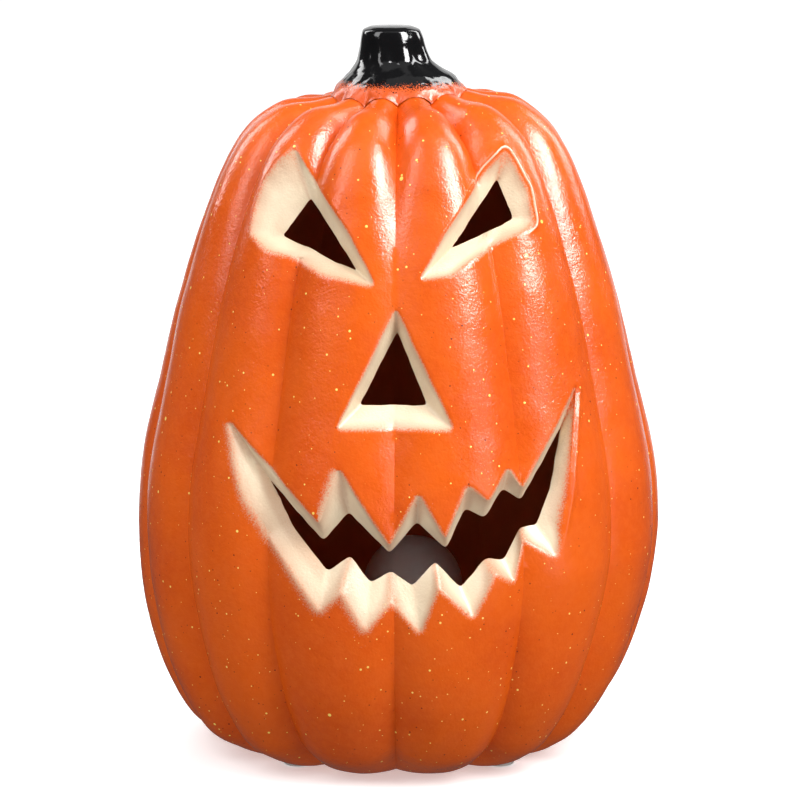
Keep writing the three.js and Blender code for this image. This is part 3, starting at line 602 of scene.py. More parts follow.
def build_stem():
    """The fluted stem on its ragged collar, closed underneath along the crown.

    The rings run from the middle of the collar's underside out along the crown, over the lip and
    up the flank; the flutes wander and are deeper on one side, as if pressed by hand.
    """
    angles = COLUMNS[::2]
    sheet = Sheet()
    rings = []
    for t in np.interp(np.linspace(0, 3, COLLAR_STEPS), range(4), COLLAR_ROWS):
        rings.append(wall_points(angles, np.full(len(angles), t), -COLLAR_GAP, COLLAR_WAVE))
    edge = rings[-1]
    ragged = 1 + 0.02 * lumps(edge, 5, 31)[:, None] * (1, 1, 0)
    for out, up in COLLAR_LIP:
        rings.append(edge * ragged * (out, out, 1) + (0, 0, up))
    around = np.radians(angles)
    for radius, height, depth, middle in spline(STEM, np.linspace(0, 1, STEM_ROWS)):
        wander = around + STEM_WANDER * np.sin(2 * around + 0.9) + STEM_TWIST * (height - STEM_WAIST)
        flute = 0.5 - 0.5 * np.cos(FLUTES * wander + FLUTE_TURN)
        r = radius - depth * flute**1.6 * (0.6 + 0.35 * np.sin(2 * around + 0.6))
        ring = circle(angles, r, height + LIFT, middle)
        rough = ramp(-ring[:, 2], -GRIT_FROM, -GRIT_TO)
        out = circle(angles, 1.0, 0.3)
        swell = SWELL * lumps(ring, 7, 32) + (GRIT + COLLAR_GRIT * rough) * lumps(ring, 1.7, 33)
        rings.append(ring + out * swell[:, None])
    numbers = [sheet.add(ring) for ring in rings]
    bottom = sheet.add([(0, 0, CROWN_HEIGHT + 1 + LIFT)])[0]
    top = sheet.add([(STEM_TIP[0], 0, STEM_TIP[1] + LIFT)])[0]
    faces = quads(numbers)
    faces += [(b, a, bottom) for a, b in loop_edges(numbers[0])]
    faces += [(a, b, top) for a, b in loop_edges(numbers[-1])]
    return new_mesh("stem_glazed", np.vstack(sheet.points), faces, 60)


# ---- materials ----

class Finish:
    """One material, built by short calls; lengths are in mm."""

    def __init__(self, name):
        self.material = bpy.data.materials.new(name)
        self.material.use_nodes = True
        self.tree = self.material.node_tree
        self.tree.nodes.clear()
        output = self.tree.nodes.new("ShaderNodeOutputMaterial")
        self.shader = self.tree.nodes.new("ShaderNodeBsdfPrincipled")
        self.tree.links.new(self.shader.outputs[0], output.inputs[0])
        self.place = self.node("TexCoord").outputs["Object"]

    def node(self, kind, inputs=None, **settings):
        made = self.tree.nodes.new("ShaderNode" + kind)
        for name, value in settings.items():
            setattr(made, name, value)
        for socket, value in (inputs or {}).items():
            self.plug(made.inputs[socket], value)
        return made

    def plug(self, socket, value):
        if isinstance(value, bpy.types.NodeSocket):
            self.tree.links.new(value, socket)
        else:
            socket.default_value = value

    def set(self, **values):
        for name, value in values.items():
            self.plug(self.shader.inputs[name.replace("_", " ")], value)
        return self.material

    def moved(self, shift):
        return self.node("Mapping", {"Vector": self.place, "Location": (shift,) * 3}).outputs[0]

    def noise(self, size, detail=2.0, rough=0.5, shift=0.0):
        """Noise from 0 to 1 with lumps of this size; another shift gives other lumps."""
        place = self.moved(shift) if shift else self.place
        return self.node("TexNoise", {
            "Vector": place, "Scale": 1000 / size, "Detail": detail, "Roughness": rough}).outputs["Fac"]

    def drift(self, amount, *noise):
        """Noise on both sides of 0, over a range of this amount."""
        return self.times(self.maths("SUBTRACT", self.noise(*noise), 0.5), amount)

    def maths(self, operation, a, b=0.0):
        return self.node("Math", {0: a, 1: b}, operation=operation).outputs[0]

    def times(self, a, b):
        return self.maths("MULTIPLY", a, b)

    def plus(self, a, b):
        return self.maths("ADD", a, b)

    def step(self, value, low, high, a=0.0, b=1.0):
        """a below low, b above high, smooth between them."""
        return self.node("MapRange", {
            "Value": value, "From Min": low, "From Max": high, "To Min": a, "To Max": b,
        }, interpolation_type="SMOOTHSTEP").outputs[0]

    def mix(self, factor, a, b, kind="RGBA"):
        """a where factor is 0, b where it is 1; kind is RGBA, FLOAT or VECTOR."""
        first, result = {"FLOAT": (2, 0), "VECTOR": (4, 1), "RGBA": (6, 2)}[kind]
        made = self.node("Mix", data_type=kind)
        for socket, value in ((0, factor), (first, a), (first + 1, b)):
            self.plug(made.inputs[socket], value)
        return made.outputs[result]

    def dots(self, cell, radius, share, shift):
        """Round specks: one per cell of this size in a share of the cells, of mixed radius."""
        cells = self.node("TexVoronoi", {"Vector": self.moved(shift), "Scale": 1000 / cell})
        chance = self.node("SeparateColor", {0: cells.outputs["Color"]})
        size = self.times(self.maths("POWER", chance.outputs[1], 1.6), radius / cell)
        size = self.plus(size, 0.35 * radius / cell)
        edge = self.step(self.maths("SUBTRACT", size, cells.outputs["Distance"]), 0.0, 0.08 / cell)
        return self.times(edge, self.maths("LESS_THAN", chance.outputs[0], share))

    def bump(self, height, depth, under=None):
        """Roughens the surface: height runs from 0 to 1 over depth in mm."""
        inputs = {"Height": height, "Distance": depth * MM, "Strength": 1.0}
        if under is not None:
            inputs["Normal"] = under
        return self.node("Bump", inputs).outputs[0]


ORANGE, ORANGE_DEEP = (0.71, 0.101, 0.005, 1), (0.64, 0.080, 0.004, 1)
ORANGE_PALE = (0.78, 0.145, 0.015, 1)
# painted shade: a darker copy of the orange for the stem's collar, which faces up into the light
COLLAR_ORANGE_SHADED = (0.52, 0.062, 0.003, 1)
GOLD_SPECK, DARK_SPECK = (0.98, 0.70, 0.14, 1), (0.09, 0.008, 0.004, 1)
# the darker cream is the thin edge of the spray, and also painted shade in the cuts' down-facing faces,
# narrow tops and deep left flanks
CREAM, CREAM_THIN_AND_SHADE = (0.80, 0.65, 0.46, 1), (0.62, 0.39, 0.25, 1)
BLACK = (0.004, 0.004, 0.0045, 1)
# Specks: (cell, radius, share of the cells, shift).
DARK_DOTS = (1.9, 0.27, 0.5, 1.0)
GOLD_DOTS = ((8, 0.62, 0.4, 2.0), (3.4, 0.38, 0.7, 3.0), (2.1, 0.2, 0.45, 4.0))
STRAY_DOTS, FLECK_DOTS = (0.9, 0.16, 0.5, 6.0), (0.6, 0.26, 0.7, 7.0)
PAINT_LINE = 234.2  # height in mm where the stem's black ends


def orange_parts(finish):
    """Colour, roughness and normal of the orange glaze with its specks."""
    broad, fine = finish.noise(38, 3), finish.noise(2.6, 3, 0.65)
    orange = finish.mix(finish.step(broad, 0.35, 0.65), ORANGE_DEEP, ORANGE)
    orange = finish.mix(finish.step(fine, 0.35, 0.7, 0.0, 0.22), orange, ORANGE_PALE)
    patches = finish.step(finish.noise(30, 2, shift=3.0), 0.42, 0.6, 0.25, 1.0)
    dark = finish.times(finish.dots(*DARK_DOTS), patches)
    orange = finish.mix(finish.times(dark, 0.95), orange, DARK_SPECK)
    gold = finish.dots(*GOLD_DOTS[0])
    for row in GOLD_DOTS[1:]:
        gold = finish.maths("MAXIMUM", gold, finish.dots(*row))
    colour = finish.mix(gold, orange, GOLD_SPECK)
    rough = finish.step(finish.noise(9, 3), 0.3, 0.7, 0.17, 0.27)
    normal = finish.bump(finish.noise(3.2, 3, 0.6), 0.16)
    normal = finish.bump(finish.noise(0.85, 2), 0.11, normal)
    return colour, rough, finish.bump(gold, 0.05, normal)


def orange_glaze():
    """Orange with specks, and cream sprayed into the cuts, with a grainy edge and stray drops."""
    finish = Finish("orange_glaze")
    colour, rough, normal = orange_parts(finish)
    line = finish.node("Attribute", attribute_name="cream").outputs["Fac"]
    grain = finish.maths("SUBTRACT", finish.noise(0.5, 2, 0.7, 5.0), 0.5)
    wide = finish.plus(line, finish.times(grain, 2.4))
    wide = finish.plus(wide, finish.drift(0.6, 6, 2, 0.5, 6.0))
    cream = finish.step(wide, 0.95, -0.65)
    stray = finish.times(finish.dots(*STRAY_DOTS), finish.step(line, 4.0, 0.4))
    stray = finish.times(stray, finish.step(finish.noise(3, 2, shift=4.0), 0.45, 0.6))
    cream = finish.maths("MAXIMUM", cream, finish.times(stray, 0.8))
    # the cream turns darker near the spray's edge, and as painted shade where its depth was cut for shade in
    # the bevel
    cream_and_shade = finish.mix(finish.step(finish.plus(line, grain), 0.4, -3.0), CREAM_THIN_AND_SHADE, CREAM)
    patches = finish.step(finish.noise(7, 3, shift=7.0), 0.3, 0.75, 0.0, 0.2)
    cream_and_shade = finish.mix(patches, cream_and_shade, CREAM_THIN_AND_SHADE)
    colour = finish.mix(cream, colour, cream_and_shade)
    rough = finish.plus(rough, finish.times(cream, 0.2))
    return finish.set(Base_Color=colour, Roughness=rough, Normal=normal, Specular_IOR_Level=0.36)


def stem_glaze():
    """Gloss black down to a spattered line, and rough orange below it."""
    finish = Finish("stem_glaze")
    colour, rough, normal = orange_parts(finish)
    height = finish.times(finish.node("SeparateXYZ", {0: finish.place}).outputs[2], 1000.0)
    edge = finish.plus(height, finish.drift(8.0, 0.45, 2, 0.7, 8.0))
    edge = finish.plus(edge, finish.drift(2.2, 7, 2, 0.5, 9.0))
    black = finish.step(edge, PAINT_LINE - 0.25, PAINT_LINE + 0.25)
    near = finish.step(height, PAINT_LINE - 3.4, PAINT_LINE + 0.4, 0.28, 0.62)
    flecks = finish.maths("LESS_THAN", finish.noise(0.9, 1, shift=10.0), near)
    black = finish.maths("MAXIMUM", black, finish.times(flecks, finish.dots(*FLECK_DOTS)))
    # below the black the collar is half the darker orange, painted shade against the light it faces
    colour = finish.mix(black, finish.mix(0.55, colour, COLLAR_ORANGE_SHADED), BLACK)
    rough = finish.mix(black, finish.plus(rough, 0.05), 0.10, "FLOAT")
    gritty = finish.bump(finish.noise(1.1, 3, 0.7), 0.08, normal)
    glossy = finish.bump(finish.noise(1.3, 3, 0.6), 0.03, finish.bump(finish.noise(4.5, 2), 0.16))
    normal = finish.mix(black, gritty, glossy, "VECTOR")
    return finish.set(Base_Color=colour, Roughness=rough, Normal=normal, Specular_IOR_Level=0.4)


def hollow_clay():
    """The inside of the shell: matt, and orange like the rest."""
    finish = Finish("hollow_clay")
    colour = finish.mix(finish.noise(14, 4), (0.60, 0.13, 0.030, 1), (0.74, 0.18, 0.045, 1))
    normal = finish.bump(finish.noise(5, 4), 0.3)
    return finish.set(Base_Color=colour, Roughness=0.85, Normal=normal)


# ---- forms for the small pieces ----

def lathe(profile, sides=48, closed=False):
    """A form turned about Z from (radius, height) pairs, which run anticlockwise round its section."""
    around = np.linspace(0, math.tau, sides, endpoint=False)
    points, rows, faces = [], [], []
    for radius, height in profile:
        count = sides if radius > 0 else 1
        rows.append(range(len(points), len(points) + count))
        points += [(radius * math.cos(a), radius * math.sin(a), height) for a in around[:count]]
    for low, high in zip(rows, rows[1:] + rows[:1] if closed else rows[1:]):
        for j in range(sides):
            k = (j + 1) % sides
            if len(low) == 1:
                faces.append((low[0], high[k], high[j]))
            elif len(high) == 1:
                faces.append((low[j], low[k], high[0]))
            else:
                faces.append((low[j], low[k], high[k], high[j]))
    return points, faces


def arc(centre_r, centre_z, radius, start, end, steps=5):
    """Points of a lathe profile round a corner, between two angles in degrees."""
    return [(centre_r + radius * math.cos(math.radians(a)), centre_z + radius * math.sin(math.radians(a)))
            for a in np.linspace(start, end, steps)]


def block(low, high, rounding=0.2):
    """A box between two corners, with rounded edges."""
    form = bmesh.new()
    bmesh.ops.create_cube(form, size=1)
    for vertex in form.verts:
        vertex.co = [b if v > 0 else a for v, a, b in zip(vertex.co, low, high)]
    bmesh.ops.bevel(form, geom=form.edges[:], offset=rounding, segments=3, profile=0.5, affect="EDGES")
    form.verts.index_update()
    points = [tuple(v.co) for v in form.verts]
    faces = [tuple(v.index for v in f.verts) for f in form.faces]
    form.free()
    return points, faces


def tube(path, radius, sides=12):
    """A round wire along a path, closed at both ends."""
    path = np.asarray(path, float)
    along = np.gradient(path, axis=0)
    along /= np.linalg.norm(along, axis=1)[:, None]
    side = np.cross(along[0], (0.3, 0.5, 0.8))
    points = [path[0]]
    around = np.linspace(0, math.tau, sides, endpoint=False)
    for place, ahead in zip(path, along):
        side = side - ahead * side.dot(ahead)
        side /= np.linalg.norm(side)
        other = np.cross(ahead, side)
        points += [place + radius * (math.cos(a) * side + math.sin(a) * other) for a in around]
    last = len(points)
    rings = np.arange(1, last).reshape(-1, sides)
    faces = quads(rings)
    for (a, b), (c, d) in zip(loop_edges(rings[0]), loop_edges(rings[-1])):
        faces += [(0, b, a), (c, d, last)]
    return points + [path[-1]], faces


def carved(form, tools):
    """A closed form with other closed forms cut out of it."""
    piece = new_mesh("blank", *form)
    for tool in tools:
        cutter = new_mesh("cutter", *tool)
        change = piece.modifiers.new("cut", "BOOLEAN")
        change.object, change.operation, change.solver = cutter, "DIFFERENCE", "EXACT"
        graph = bpy.context.evaluated_depsgraph_get()
        piece.data = bpy.data.meshes.new_from_object(piece.evaluated_get(graph))
        piece.modifiers.clear()
        bpy.data.objects.remove(cutter)
    points = [tuple(v.co / MM) for v in piece.data.vertices]
    faces = [tuple(f.vertices) for f in piece.data.polygons]
    bpy.data.objects.remove(piece)
    return points, faces


ALONG_Y = ((1, 0, 0), (0, 0, 1), (0, -1, 0))  # turns Z to Y
ALONG_BACK = ((1, 0, 0), (0, 0, -1), (0, 1, 0))  # turns Z to -Y
UPSIDE_DOWN = ((1, 0, 0), (0, -1, 0), (0, 0, -1))


def declare(piece, materials, slot, node=None, body="root"):
    """Gives a piece its materials, hangs it on its body's empty, and hides the CAD part it replaces."""
    for material in materials:
        piece.data.materials.append(material)
    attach(piece, body)
    if node:
        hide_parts(node)


class Kit:
    """Gathers forms into one piece; kind is the number of a form's material."""

    def __init__(self):
        self.points, self.faces, self.kinds = [], [], []

    def add(self, form, kind=0, turn=None, move=(0, 0, 0)):
        points, faces = np.asarray(form[0], float), form[1]
        if turn is not None:
            points = points @ np.array(turn).T
        first = len(self.points)
        self.points += (points + move).tolist()
        self.faces += [tuple(i + first for i in face) for face in faces]
        self.kinds += [kind] * len(faces) if isinstance(kind, int) else list(kind)
        return self

    def make(self, name, slot, node=None, finishes=None, body="root", smooth=40):
        """Makes the piece; its finishes are keys of FINISHES, and just its slot's unless given."""
        piece = new_mesh(name, self.points, self.faces, smooth)
        piece.data.polygons.foreach_set("material_index", np.array(self.kinds, np.int32))
        declare(piece, [FINISHES[key] for key in finishes or (slot,)], slot, node, body)


# ---- finishes of the small pieces ----

def moulded(name, dark, light, patch, rough, grain, depth, **fixed):
    """Two shades in soft patches, roughness that varies with them, and a fine grain; sizes in mm."""
    finish = Finish(name)
    patches = finish.step(finish.noise(patch, 4, 0.6), 0.38, 0.68)
    colour = finish.mix(patches, (*dark, 1), (*light, 1))
    wear = finish.step(finish.noise(patch * 0.3, 5, 0.7, shift=2.0), 0.35, 0.7, rough[0], rough[1])
    normal = finish.bump(finish.noise(grain, 3, 0.6), depth)
    return finish.set(Base_Color=colour, Roughness=wear, Normal=normal, **fixed)


PINSTRIPES = (9.6, 10.6)  # mm from a cell's middle


def cell_jacket():
    """Printed film with two pinstripes round each end."""
    finish = Finish("cell_jacket")
    along = finish.node("SeparateXYZ", {0: finish.place}).outputs[1]
    along = finish.times(finish.maths("ABSOLUTE", along), 1000.0)
    colour = finish.mix(finish.noise(3, 4), (0.012, 0.035, 0.022, 1), (0.018, 0.05, 0.03, 1))
    for place in PINSTRIPES:
        gap = finish.maths("ABSOLUTE", finish.maths("SUBTRACT", along, place))
        colour = finish.mix(finish.step(gap, 0.16, 0.24, 1.0, 0.0), colour, (0.62, 0.52, 0.30, 1))
    rough = finish.step(finish.noise(1.2, 4, 0.7), 0.3, 0.7, 0.2, 0.38)
    return finish.set(Base_Color=colour, Roughness=rough, Normal=finish.bump(finish.noise(2.5), 0.02))


def solder_mask():
    """Green mask with tracks and vias showing through."""
    finish = Finish("solder_mask")
    tracks = finish.node("TexBrick", {
        "Vector": finish.place, "Scale": 180.0, "Mortar Size": 0.05, "Brick Width": 0.9,
        "Row Height": 0.45, "Color1": (0, 0, 0, 1), "Color2": (0.25, 0.25, 0.25, 1), "Mortar": (1, 1, 1, 1)})
    colour = finish.mix(tracks.outputs[0], (0.008, 0.075, 0.03, 1), (0.02, 0.16, 0.06, 1))
    vias = finish.dots(3.0, 0.5, 0.5, 5.0)
    colour = finish.mix(vias, colour, (0.55, 0.52, 0.42, 1))
    normal = finish.bump(tracks.outputs[0], 0.03)
    rough = finish.step(finish.noise(4), 0.3, 0.7, 0.22, 0.36)
    return finish.set(Base_Color=colour, Roughness=rough, Normal=normal)


METAL = {"Metallic": 1.0}
# Slot: name, dark and light shade, size of the patches, roughness, grain, its depth, other settings.
MOULDED = {
    "black_plastic": ("black_abs", (0.011, 0.011, 0.012), (0.019, 0.019, 0.02), 9,
                      (0.42, 0.62), 0.45, 0.03, {}),
    "satin_black": ("satin_abs", (0.012, 0.012, 0.013), (0.02, 0.02, 0.021), 12,
                    (0.25, 0.4), 1.2, 0.012, {}),
    "frosted_plastic": ("frosted_dome", (0.82, 0.68, 0.62), (0.90, 0.80, 0.74), 16,
                        (0.34, 0.5), 0.8, 0.02, {"Transmission_Weight": 0.15}),
    "rubber": ("black_rubber", (0.02, 0.02, 0.02), (0.035, 0.034, 0.033), 4,
               (0.75, 0.95), 0.5, 0.03, {}),
    "clear_rubber": ("clear_silicone", (0.72, 0.70, 0.66), (0.82, 0.80, 0.76), 3,
                     (0.3, 0.5), 0.9, 0.02, {"Transmission_Weight": 0.4, "IOR": 1.41}),
    "steel": ("zinc_plate", (0.48, 0.49, 0.50), (0.62, 0.61, 0.58), 2, (0.22, 0.42), 0.5, 0.01, METAL),
    "nickel": ("nickel_plate", (0.60, 0.57, 0.51), (0.70, 0.67, 0.60), 3, (0.14, 0.3), 0.8, 0.006, METAL),
    "brass": ("brass_film", (0.62, 0.40, 0.13), (0.72, 0.49, 0.18), 4, (0.2, 0.34), 1.5, 0.008, METAL),
    "led_resin": ("led_resin", (0.85, 0.40, 0.10), (0.95, 0.52, 0.16), 2,
                  (0.05, 0.14), 1.5, 0.005, {"Transmission_Weight": 0.7, "IOR": 1.5}),
    "red_pvc": ("red_pvc", (0.36, 0.010, 0.010), (0.46, 0.018, 0.015), 5, (0.3, 0.5), 0.7, 0.012, {}),
    "black_pvc": ("black_pvc", (0.012, 0.012, 0.012), (0.022, 0.022, 0.022), 5,
                  (0.3, 0.5), 0.7, 0.012, {}),
    "white_plastic": ("white_knob", (0.72, 0.70, 0.64), (0.80, 0.78, 0.72), 3,
                      (0.3, 0.45), 0.6, 0.012, {}),
    "tan_resistor": ("fired_ceramic", (0.34, 0.22, 0.13), (0.42, 0.29, 0.18), 1,
                     (0.4, 0.6), 0.3, 0.01, {}),
}


FINISHES = {}


def make_finishes():
    for slot, row in MOULDED.items():
        FINISHES[slot] = moulded(*row[:-1], **row[-1])
    FINISHES.update(cell_jacket=cell_jacket(), board=solder_mask())


# ---- light unit and pads ----

PAD_HEIGHT = 2.0
RIBS_FROM, RIBS_TO, RIB_PITCH, RIB_WIDTH, RIB_HALF = -22.5, -16.0, 1.5, 0.7, 6.0
RIB_LOW, RIB_HIGH = 2.35, 2.9
# Screws: radius and thickness of the head, radius of the thread, length.
DOOR_SCREW, COVER_SCREW = (2.7, 1.2, 1.2, 5.6), (2.8, 1.5, 1.0, 9.2)
DOOR_SCREW_PLACE = (0, -28.3, 2.4)
KNOB_LOW, KNOB_HIGH = (23.8, -3.5, 1.6), (26.2, -0.5, 7.4)
KNOB_RIDGES = (-3.1, -2.2, -1.3)
SPRING_WIRE, SPRING_TURNS = 0.28, 3.3
PLATE_HALF, PLATE_THICK = 4.0, 0.4
GASKET_INNER, GASKET_OUTER, GASKET_LOW, GASKET_HIGH, GASKET_ROUND = 34.1, 37.0, 5.6, 6.4, 0.5
WIRE_X, LEG_SPREAD = 5.5, 1.27
CHIP_LEGS = (-3, -1, 1, 3)
RESISTORS = ((-4, 6), (-4, 9), (12, 8), (12, -8))
CELL_RADIUS, CELL_HALF, CELL_PITCH, CELL_Z = 5.25, 22.25, 11.0, 10.7
NUB_RADIUS, NUB_LENGTH = 1.9, 0.8
CONTACT_WALL = 24.2
DOME_X, DOME_RADIUS, DOME_WALL, DOME_CENTRE = 5.0, 17.5, 1.5, 56.0
DOME_FLANGE, DOME_BOTTOM, DOME_STEP = 20.0, 25.2, 26.7
LED_RADIUS, LED_BOTTOM, LED_SHOULDER, LED_SPACING = 2.5, 21.1, 25.5, 7.0
BOARD_TOP, COVER_TOP, COVER_SCREW_RING = 20.8, 29.6, 27.0
CHIP_X, CHIP_HALF = -11.0, 3.0
WIRE_RADIUS = 0.6
WIRE_ROUTE = [(22.9, 13.4), (22.4, 15.2), (21.5, 17.7), (20.5, 20.6), (17.6, 21.9), (13.6, 22)]


def screw_form(head, thickness, shank, length):
    """A pan-head screw with a cross recess; its head stands on z=0 and its thread runs down."""
    pitch, root = 0.7, 0.78
    turns = int((length - 1.2) / pitch)
    thread = [(shank * r, -length + 0.9 + pitch * (i + u))
              for i in range(turns) for u, r in ((0, root), (0.35, root), (0.5, 1), (0.65, 1))]
    profile = [(0, -length), (0.45 * shank, -length), *thread, (shank * root, -0.25), (shank * root, 0)]
    profile += [(head - 0.25, 0), *arc(head - 0.3, 0.3, 0.3, -60, 0, 3)]
    profile += [*arc(head - 0.6, thickness - 0.6, 0.6, 0, 80, 5), (0.4 * head, thickness), (0, thickness)]
    arms = [((-a, -b, thickness - 0.75), (a, b, thickness + 1)) for a, b in ((1.45, 0.24), (0.24, 1.45))]
    return carved(lathe(profile, 32), [block(*arm, 0.05) for arm in arms])


def cell_form():
    """A dry cell standing on its flat end, with the kind of each face: jacket, band or metal."""
    r, end, shoulder = CELL_RADIUS, CELL_HALF, CELL_HALF - NUB_LENGTH
    rows = [
        (0, -end + 0.25, 2), (3.3, -end + 0.25, 2), (3.6, -end, 2), (4.5, -end, 2),
        (4.85, -end + 0.12, 2), (4.9, -end + 0.3, 0), (5.15, -end + 0.35, 0), (r, -end + 0.6, 0),
        (r, 11.2, 1), (r, shoulder - 0.5, 1), (5.1, shoulder - 0.2, 0), (4.7, shoulder - 0.1, 2),
        (4.5, shoulder - 0.35, 2), (2.5, shoulder - 0.35, 2), (2.0, shoulder - 0.1, 2),
        (NUB_RADIUS, shoulder + 0.1, 2), (NUB_RADIUS, end - 0.2, 2), (1.7, end, 2), (0, end, 2),
    ]
    form = lathe([(radius, z) for radius, z, _ in rows], 48)
    return form, [kind for *_, kind in rows[:-1] for _ in range(48)]


def spring_path():
    """A conical coil of the contact's wire, from its wide foot up."""
    turn = np.linspace(0, 1, 110)
    radius = np.interp(turn, (0, 0.3, 1), (3.28, 3.2, 2.1))
    angle = turn * SPRING_TURNS * math.tau
    return np.stack([radius * np.cos(angle), radius * np.sin(angle),
                     np.interp(turn, (0, 0.3, 1), (0.3, 0.3, 1.2))], 1)


def on_circle(radius, degrees, z=0.0):
    return radius * math.cos(math.radians(degrees)), radius * math.sin(math.radians(degrees)), z


def add_pads():
    profile = [(0, 0), (3.4, 0), *arc(3.9, 1.3, 1.3, -80, 0, 7), *arc(4.9, 1.7, 0.3, 0, 90, 4),
               (0, PAD_HEIGHT)]
    for i, angle in enumerate((45, 135, 225, 315), 1):
        Kit().add(lathe(profile), move=on_circle(PAD_RING, angle)).make(
            f"bumper_{i}", "clear_rubber", f"foot_pad_{i}")


def add_power():
    """Cells, turned about by turns, and their contacts."""
    cell, kinds = cell_form()
    coil = tube(spring_path(), SPRING_WIRE, 10)
    dimple = lathe([*arc(0.9, 0, 1.0, 0, 80, 4), (0, 0.9)], 24)
    for i, side in enumerate((1, -1, 1), 1):
        x, wall = (i - 2) * CELL_PITCH, side * CONTACT_WALL
        turn, back = (ALONG_Y, ALONG_BACK) if side > 0 else (ALONG_BACK, ALONG_Y)
        Kit().add(cell, kinds, turn, (x, 0, CELL_Z)).make(
            f"cell_{i}", "cell_jacket", f"battery_{i}", ("cell_jacket", "brass", "nickel"))
        Kit().add(coil, 0, turn, (x, -wall, CELL_Z)).make(f"coil_{i}", "nickel", f"contact_spring_{i}")
        near, far = sorted((wall, side * (CONTACT_WALL - PLATE_THICK)))
        plate = block((x - PLATE_HALF, near, CELL_Z - PLATE_HALF),
                      (x + PLATE_HALF, far, CELL_Z + PLATE_HALF), 0.12)
        Kit().add(plate).add(dimple, 0, back, (x, side * (CONTACT_WALL - 0.35), CELL_Z)).make(
            f"terminal_{i}", "nickel", f"contact_plate_{i}")


def add_moving():
    """The door's ribs and screw, and the switch's button."""
    ribs = Kit()
    for y in np.arange(RIBS_FROM, RIBS_TO, RIB_PITCH):
        ribs.add(block((-RIB_HALF, y, RIB_LOW), (RIB_HALF, y + RIB_WIDTH, RIB_HIGH), 0.18))
    ribs.make("door_grip", "black_plastic", finishes=("satin_black",), body="battery_door")
    Kit().add(screw_form(*DOOR_SCREW), 0, UPSIDE_DOWN, DOOR_SCREW_PLACE).make(
        "door_screw", "steel", "battery_door_screw", body="battery_door", smooth=30)
    knob = Kit().add(block(KNOB_LOW, KNOB_HIGH, 0.22))
    for y in KNOB_RIDGES:
        knob.add(block((23.95, y, 1.3), (26.05, y + 0.4, 1.9), 0.12))
    knob.make("slide_button", "white_plastic", "switch_knob", body="switch_knob")


def add_dome():
    inner = DOME_RADIUS - DOME_WALL
    profile = [(0, DOME_CENTRE + inner), *arc(0, DOME_CENTRE, inner, 88, 0, 30), (inner, DOME_BOTTOM),
               (DOME_FLANGE, DOME_BOTTOM), (DOME_FLANGE, DOME_STEP), (DOME_RADIUS + 0.3, DOME_STEP),
               (DOME_RADIUS, DOME_STEP + 0.3), *arc(0, DOME_CENTRE, DOME_RADIUS, 0, 88, 30),
               (0, DOME_CENTRE + DOME_RADIUS)]
    Kit().add(lathe(profile, 96), move=(DOME_X, 0, 0)).make(
        "lamp_dome", "frosted_plastic", "diffuser_dome")


def add_lamps():
    brim = LED_BOTTOM + 1
    bulb = [(0, LED_BOTTOM), (2.9, LED_BOTTOM), (2.9, LED_BOTTOM + 0.8), (2.7, brim), (LED_RADIUS, brim),
            *arc(0, LED_SHOULDER, LED_RADIUS, 0, 85, 10), (0, LED_SHOULDER + LED_RADIUS)]
    for i in (1, 2, 3):
        x = DOME_X + (i - 2) * LED_SPACING
        lamp = Kit().add(lathe(bulb, 40), move=(x, 0, 0))
        for leg in (x - LEG_SPREAD, x + LEG_SPREAD):
            lamp.add(block((leg - 0.25, -0.25, BOARD_TOP), (leg + 0.25, 0.25, LED_BOTTOM + 0.05), 0.02), 1)
        lamp.make(f"lamp_{i}", "led_resin", f"led_{i}", ("led_resin", "nickel"))


def add_wires():
    route = spline(WIRE_ROUTE, np.linspace(0, 1, 40))
    for name, x, slot in (("wire_red", -WIRE_X, "red_pvc"), ("wire_black", WIRE_X, "black_pvc")):
        path = np.column_stack([np.full(len(route), x), route])
        Kit().add(tube(path, WIRE_RADIUS)).make(f"{name}_jacket", slot, name)


def add_board_parts():
    """The chip's legs, and small parts with ceramic middles."""
    parts = Kit()
    for y in CHIP_LEGS:
        for side in (-1, 1):
            near, far = sorted((CHIP_X + side * (CHIP_HALF - 0.1), CHIP_X + side * (CHIP_HALF + 1)))
            parts.add(block((near, y - 0.25, BOARD_TOP), (far, y + 0.25, BOARD_TOP + 0.5), 0.08))
    for x, y in RESISTORS:
        parts.add(block((x - 1.6, y - 0.8, BOARD_TOP), (x + 1.6, y + 0.8, BOARD_TOP + 0.6), 0.12))
        parts.add(block((x - 1, y - 0.82, BOARD_TOP), (x + 1, y + 0.82, BOARD_TOP + 0.65), 0.1), 1)
    parts.make("board_parts", "nickel", finishes=("nickel", "tan_resistor"))


def add_closure():
    """The gasket under the flange, and the screws of the cover."""
    corners = ((GASKET_INNER, GASKET_LOW, 180), (GASKET_OUTER, GASKET_LOW, 270),
               (GASKET_OUTER, GASKET_HIGH, 0), (GASKET_INNER, GASKET_HIGH, 90))
    ring = [point for r, z, turn in corners for point in arc(r, z, GASKET_ROUND, turn, turn + 90, 4)]
    Kit().add(lathe(ring, 96, closed=True)).make("gasket", "rubber", "gasket_ring")
    screw = screw_form(*COVER_SCREW)
    for i, angle in enumerate((60, 180, 300), 1):
        Kit().add(screw, move=on_circle(COVER_SCREW_RING, angle, COVER_TOP)).make(
            f"pan_screw_{i}", "steel", f"cover_screw_{i}", smooth=30)


def finish_cad_nodes():
    """The plastic parts keep their CAD shape and get their finish."""
    for node, finish in (("light_housing", "black_plastic"), ("battery_door", "black_plastic"),
                         ("light_cover", "satin_black"), ("switch_body", "satin_black"),
                         ("timer_chip", "satin_black"), ("circuit_board", "board")):
        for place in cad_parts[node].material_slots:
            place.material = FINISHES[finish]


# ---- stage ----

CAMERA_DISTANCE = 1.34
CAMERA_ELEVATION = 10.0
CAMERA_TARGET = (0.0004, 0.0, 0.1223)
CAMERA_LENS = 171.5


